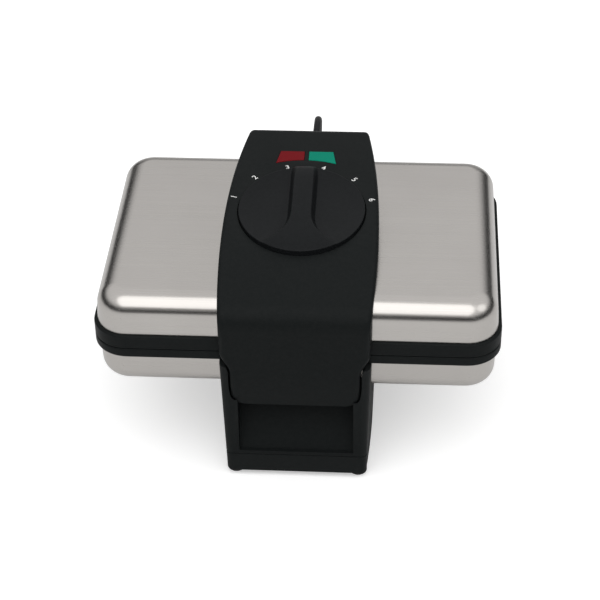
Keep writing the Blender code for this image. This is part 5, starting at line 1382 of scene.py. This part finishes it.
def grow(piece, tree, values):
    """Run a tree on a piece, with its inputs set by name, and keep the result."""
    step = piece.modifiers.new(tree.name, "NODES")
    step.node_group = tree
    for item in tree.interface.items_tree:
        if item.item_type == "SOCKET" and item.in_out == "INPUT" and item.name in values:
            step[item.identifier] = values[item.name]
    bake(piece)


def waffle_plate(name, tree, face, way, body, node):
    """A cast plate with its studs standing in both pits."""
    plate = waffle_base(name, face, way)
    bake(plate)
    values = {
        "Field Width": (SLICE_WIDTH - 2 * SLICE_DRAFT) * (1 - 1 / STUD_COLUMNS),
        "Field Depth": (SLICE_DEPTH - 2 * SLICE_DRAFT) * (1 - 1 / STUD_ROWS),
        "Base": STUD_BASE,
        "Top": STUD_TOP,
        "Height": CAVITY_DEPTH - STUD_DROP + GAP,
        "Middle X": (SLICE_WIDTH + MIDDLE_LAND) / 2,
        "Middle Y": PAN_Y,
        "Floor": face - way * (CAVITY_DEPTH + GAP),
        "Way": float(way),
        "Columns": STUD_COLUMNS,
        "Rows": STUD_ROWS,
        "Finish": finishes["nonstick"],
    }
    grow(plate, tree, values)
    soften(plate, GAP * 2)
    return stand_for(settle(plate), body, "nonstick", node)


def waffle_plates():
    tree = stud_tree()
    upper = (RING_LOW.z, -1, "lid", "upper_waffle_plate")
    lower = (LOWER_RING_HIGH.z, 1, "base", "lower_waffle_plate")
    waffle_plate("upper_plate_cast", tree, *upper)
    waffle_plate("lower_plate_cast", tree, *lower)


def screw_tree():
    """Pan-head screws with a cross slot, standing on points, from named sizes."""
    sizes = ("Radius", "Length", "Head Radius", "Dome Radius", "Head", "Slot", "Slot Reach")
    kinds = {"Turn": "Vector", "Sides": "Int"}
    tree, start, end = geometry_tree("cross_screws", sizes, kinds)
    head, wide, slot = start["Head"], start["Slot Reach"], start["Slot"]

    def lift(shape, rise):
        return move(tree, shape, Translation=vector(tree, 0.0, 0.0, rise))

    def cone(low, high, tall, rise):
        shape = {"Vertices": start["Sides"], "Depth": tall}
        shape.update({"Radius Bottom": start[low], "Radius Top": start[high]})
        return lift(put(tree, "GeometryNodeMeshCone", shape), rise)

    def bar(x, y):
        return lift(put(tree, "GeometryNodeMeshCube", {"Size": vector(tree, x, y, head)}), head)

    def solid(operation, inputs):
        how = {"operation": operation, "solver": "EXACT"}
        return put(tree, "GeometryNodeMeshBoolean", inputs, **how)

    half = reckon(tree, head, "MULTIPLY", 0.5)
    low = cone("Head Radius", "Head Radius", half, 0.0)
    dome = cone("Head Radius", "Dome Radius", half, half)
    top = {"Mesh 1": solid("UNION", {"Mesh 2": [low, dome]})}
    top = solid("DIFFERENCE", {**top, "Mesh 2": [bar(wide, slot), bar(slot, wide)]})
    under = reckon(tree, start["Length"], "MULTIPLY", -1.0)
    shank = cone("Radius", "Radius", start["Length"], under)
    screw = put(tree, "GeometryNodeJoinGeometry", {"Geometry": [top, shank]})
    screw = move(tree, screw, Rotation=start["Turn"])
    rows = {"Points": start["Geometry"], "Instance": screw}
    return seal(tree, start, end, [put(tree, "GeometryNodeInstanceOnPoints", rows)])


def screw_seat(node, way):
    """Where a screw's head rests, and its shank's length, from the node's box."""
    low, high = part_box(node)
    middle = (low + high) / 2
    reach = (high - low).dot(Vector([abs(part) for part in way]))
    return middle + way * (reach / 2 - SCREW_HEAD), reach - SCREW_HEAD


def screw_sets():
    tree = screw_tree()
    for name, (way, body, *nodes) in SCREWS.items():
        way = Vector(way)
        seats, lengths = zip(*[screw_seat(node, way) for node in nodes])
        made = mesh_from(name, [seat - PAN_MIDDLE for seat in seats], [], "zinc")
        values = {
            "Radius": SCREW_RADIUS,
            "Length": lengths[0],
            "Head Radius": SCREW_HEAD_RADIUS,
            "Dome Radius": SCREW_HEAD_RADIUS * SCREW_DOME_SHARE,
            "Head": SCREW_HEAD,
            "Slot": SCREW_SLOT,
            "Slot Reach": SCREW_HEAD_RADIUS * SCREW_REACH_SHARE,
            "Turn": tuple(way.to_track_quat("Z", "Y").to_euler()),
            "Sides": SCREW_SIDES,
            "Finish": finishes["zinc"],
        }
        grow(made, tree, values)
        stand_for(settle(made), body, "zinc", *nodes)


def dress_frame():
    """Give every frame node that still shows its own finish."""
    for piece in frame["nodes"].values():
        for slot in piece.material_slots:
            slot.material = finishes[slot.material.name.split(".")[0]]


def small_parts():
    """Frame nodes whose edges only need rounding."""
    for node in SMALL_PARTS:
        softened(node, GAP)
    for node in FEET:
        softened(node, FOOT_ROUND)


def aim_camera():
    """The photograph's viewpoint."""
    data = bpy.data.cameras.new("camera")
    data.sensor_width = SENSOR
    data.lens = SENSOR * FOCAL_PIXELS / PHOTO_SIZE
    data.shift_x, data.shift_y = [pixels / PHOTO_SIZE for pixels in SHIFT_PIXELS]
    camera = show("camera", data)
    turn = Matrix.Translation(CAMERA_PLACE)
    for degrees, axis in ((CAMERA_YAW, "Z"), (90 - CAMERA_PITCH, "X"), (CAMERA_ROLL, "Z")):
        turn = turn @ Matrix.Rotation(math.radians(degrees), 4, axis)
    camera.matrix_world = turn
    bpy.context.scene.camera = camera


def background_ray(tree):
    """1 for rays straight from the camera, else 0."""
    return put(tree, "ShaderNodeLightPath", output="Is Camera Ray")


def light_world():
    """A pale ceiling over a dark horizon, greyer at the rear, on plain white."""
    world = bpy.data.worlds.new("studio")
    bpy.context.scene.world = world
    world.use_nodes = True
    tree = world.node_tree
    way = put(tree, "ShaderNodeTexCoord", output="Generated")
    level = background_ray(tree)
    for axis, span, start, end in (
        ("Z", HORIZON_RISE, HORIZON_LEVEL, SKY_LEVEL),
        ("Y", REAR_REACH, 0.0, REAR_LEVEL),
    ):
        part = put(tree, "ShaderNodeSeparateXYZ", {"Vector": way}, axis)
        ramp = spread(tree, part, span, start, end, interpolation_type="SMOOTHSTEP")
        level = reckon(tree, level, "MAXIMUM", ramp)
    feed(tree, tree.nodes["Background"].inputs, {"Strength": level, "Color": (1, 1, 1, 1)})


def light_lamps():
    for name, place, size, power in LAMPS:
        data = bpy.data.lights.new(name, "AREA")
        data.shape = "DISK"
        data.size = size
        data.energy = power
        lamp = show(name, data)
        lamp.location = place
        target = Vector((0, 0, UPPER_PAN_TOP / 2)) - Vector(place)
        lamp.rotation_mode = "QUATERNION"
        lamp.rotation_quaternion = target.to_track_quat("-Z", "Y")


def lay_floor():
    """A pale floor that keeps the object's shadow and fades out to white."""
    mesh = bpy.data.meshes.new("floor")
    reach = FLOOR_SIZE
    corners = [(-reach, -reach, 0), (reach, -reach, 0), (reach, reach, 0), (-reach, reach, 0)]
    mesh.from_pydata(corners, [], [(0, 1, 2, 3)])
    made, tree, shader, place = blank_finish("pale_floor")
    looks = {"Base Color": speckle(tree, place, FLOOR_SCALE, *FLOOR_TONES)}
    looks.update({"Roughness": FLOOR_ROUGHNESS, "Specular IOR Level": FLOOR_SHEEN})
    looks["Emission Color"] = (1, 1, 1, 1)
    looks["Emission Strength"] = spread(tree, background_ray(tree), (0, 1), 0.0, FLOOR_GLOW)
    feed(tree, shader, looks)
    mesh.materials.append(made)
    floor = show("floor", mesh)


def build():
    aim_camera()
    make_finishes()
    lead()
    upper_pan()
    lower_pan()
    ring_frame("upper_frame", RING_LOW.z, RING_HIGH.z, "upper_ring", "lid")
    ring_frame("lower_frame", LOWER_RING_HIGH.z, LOWER_RING_LOW.z, "lower_ring", "base")
    console()
    control_knob()
    lens("red_window", -1, "red_lens")
    lens("green_window", 1, "green_lens")
    dial_numbers()
    stand()
    tray()
    waffle_plates()
    screw_sets()
    small_parts()
    dress_frame()
    light_world()
    light_lamps()
    lay_floor()
    bpy.context.scene.view_settings.view_transform = "Standard"


build()
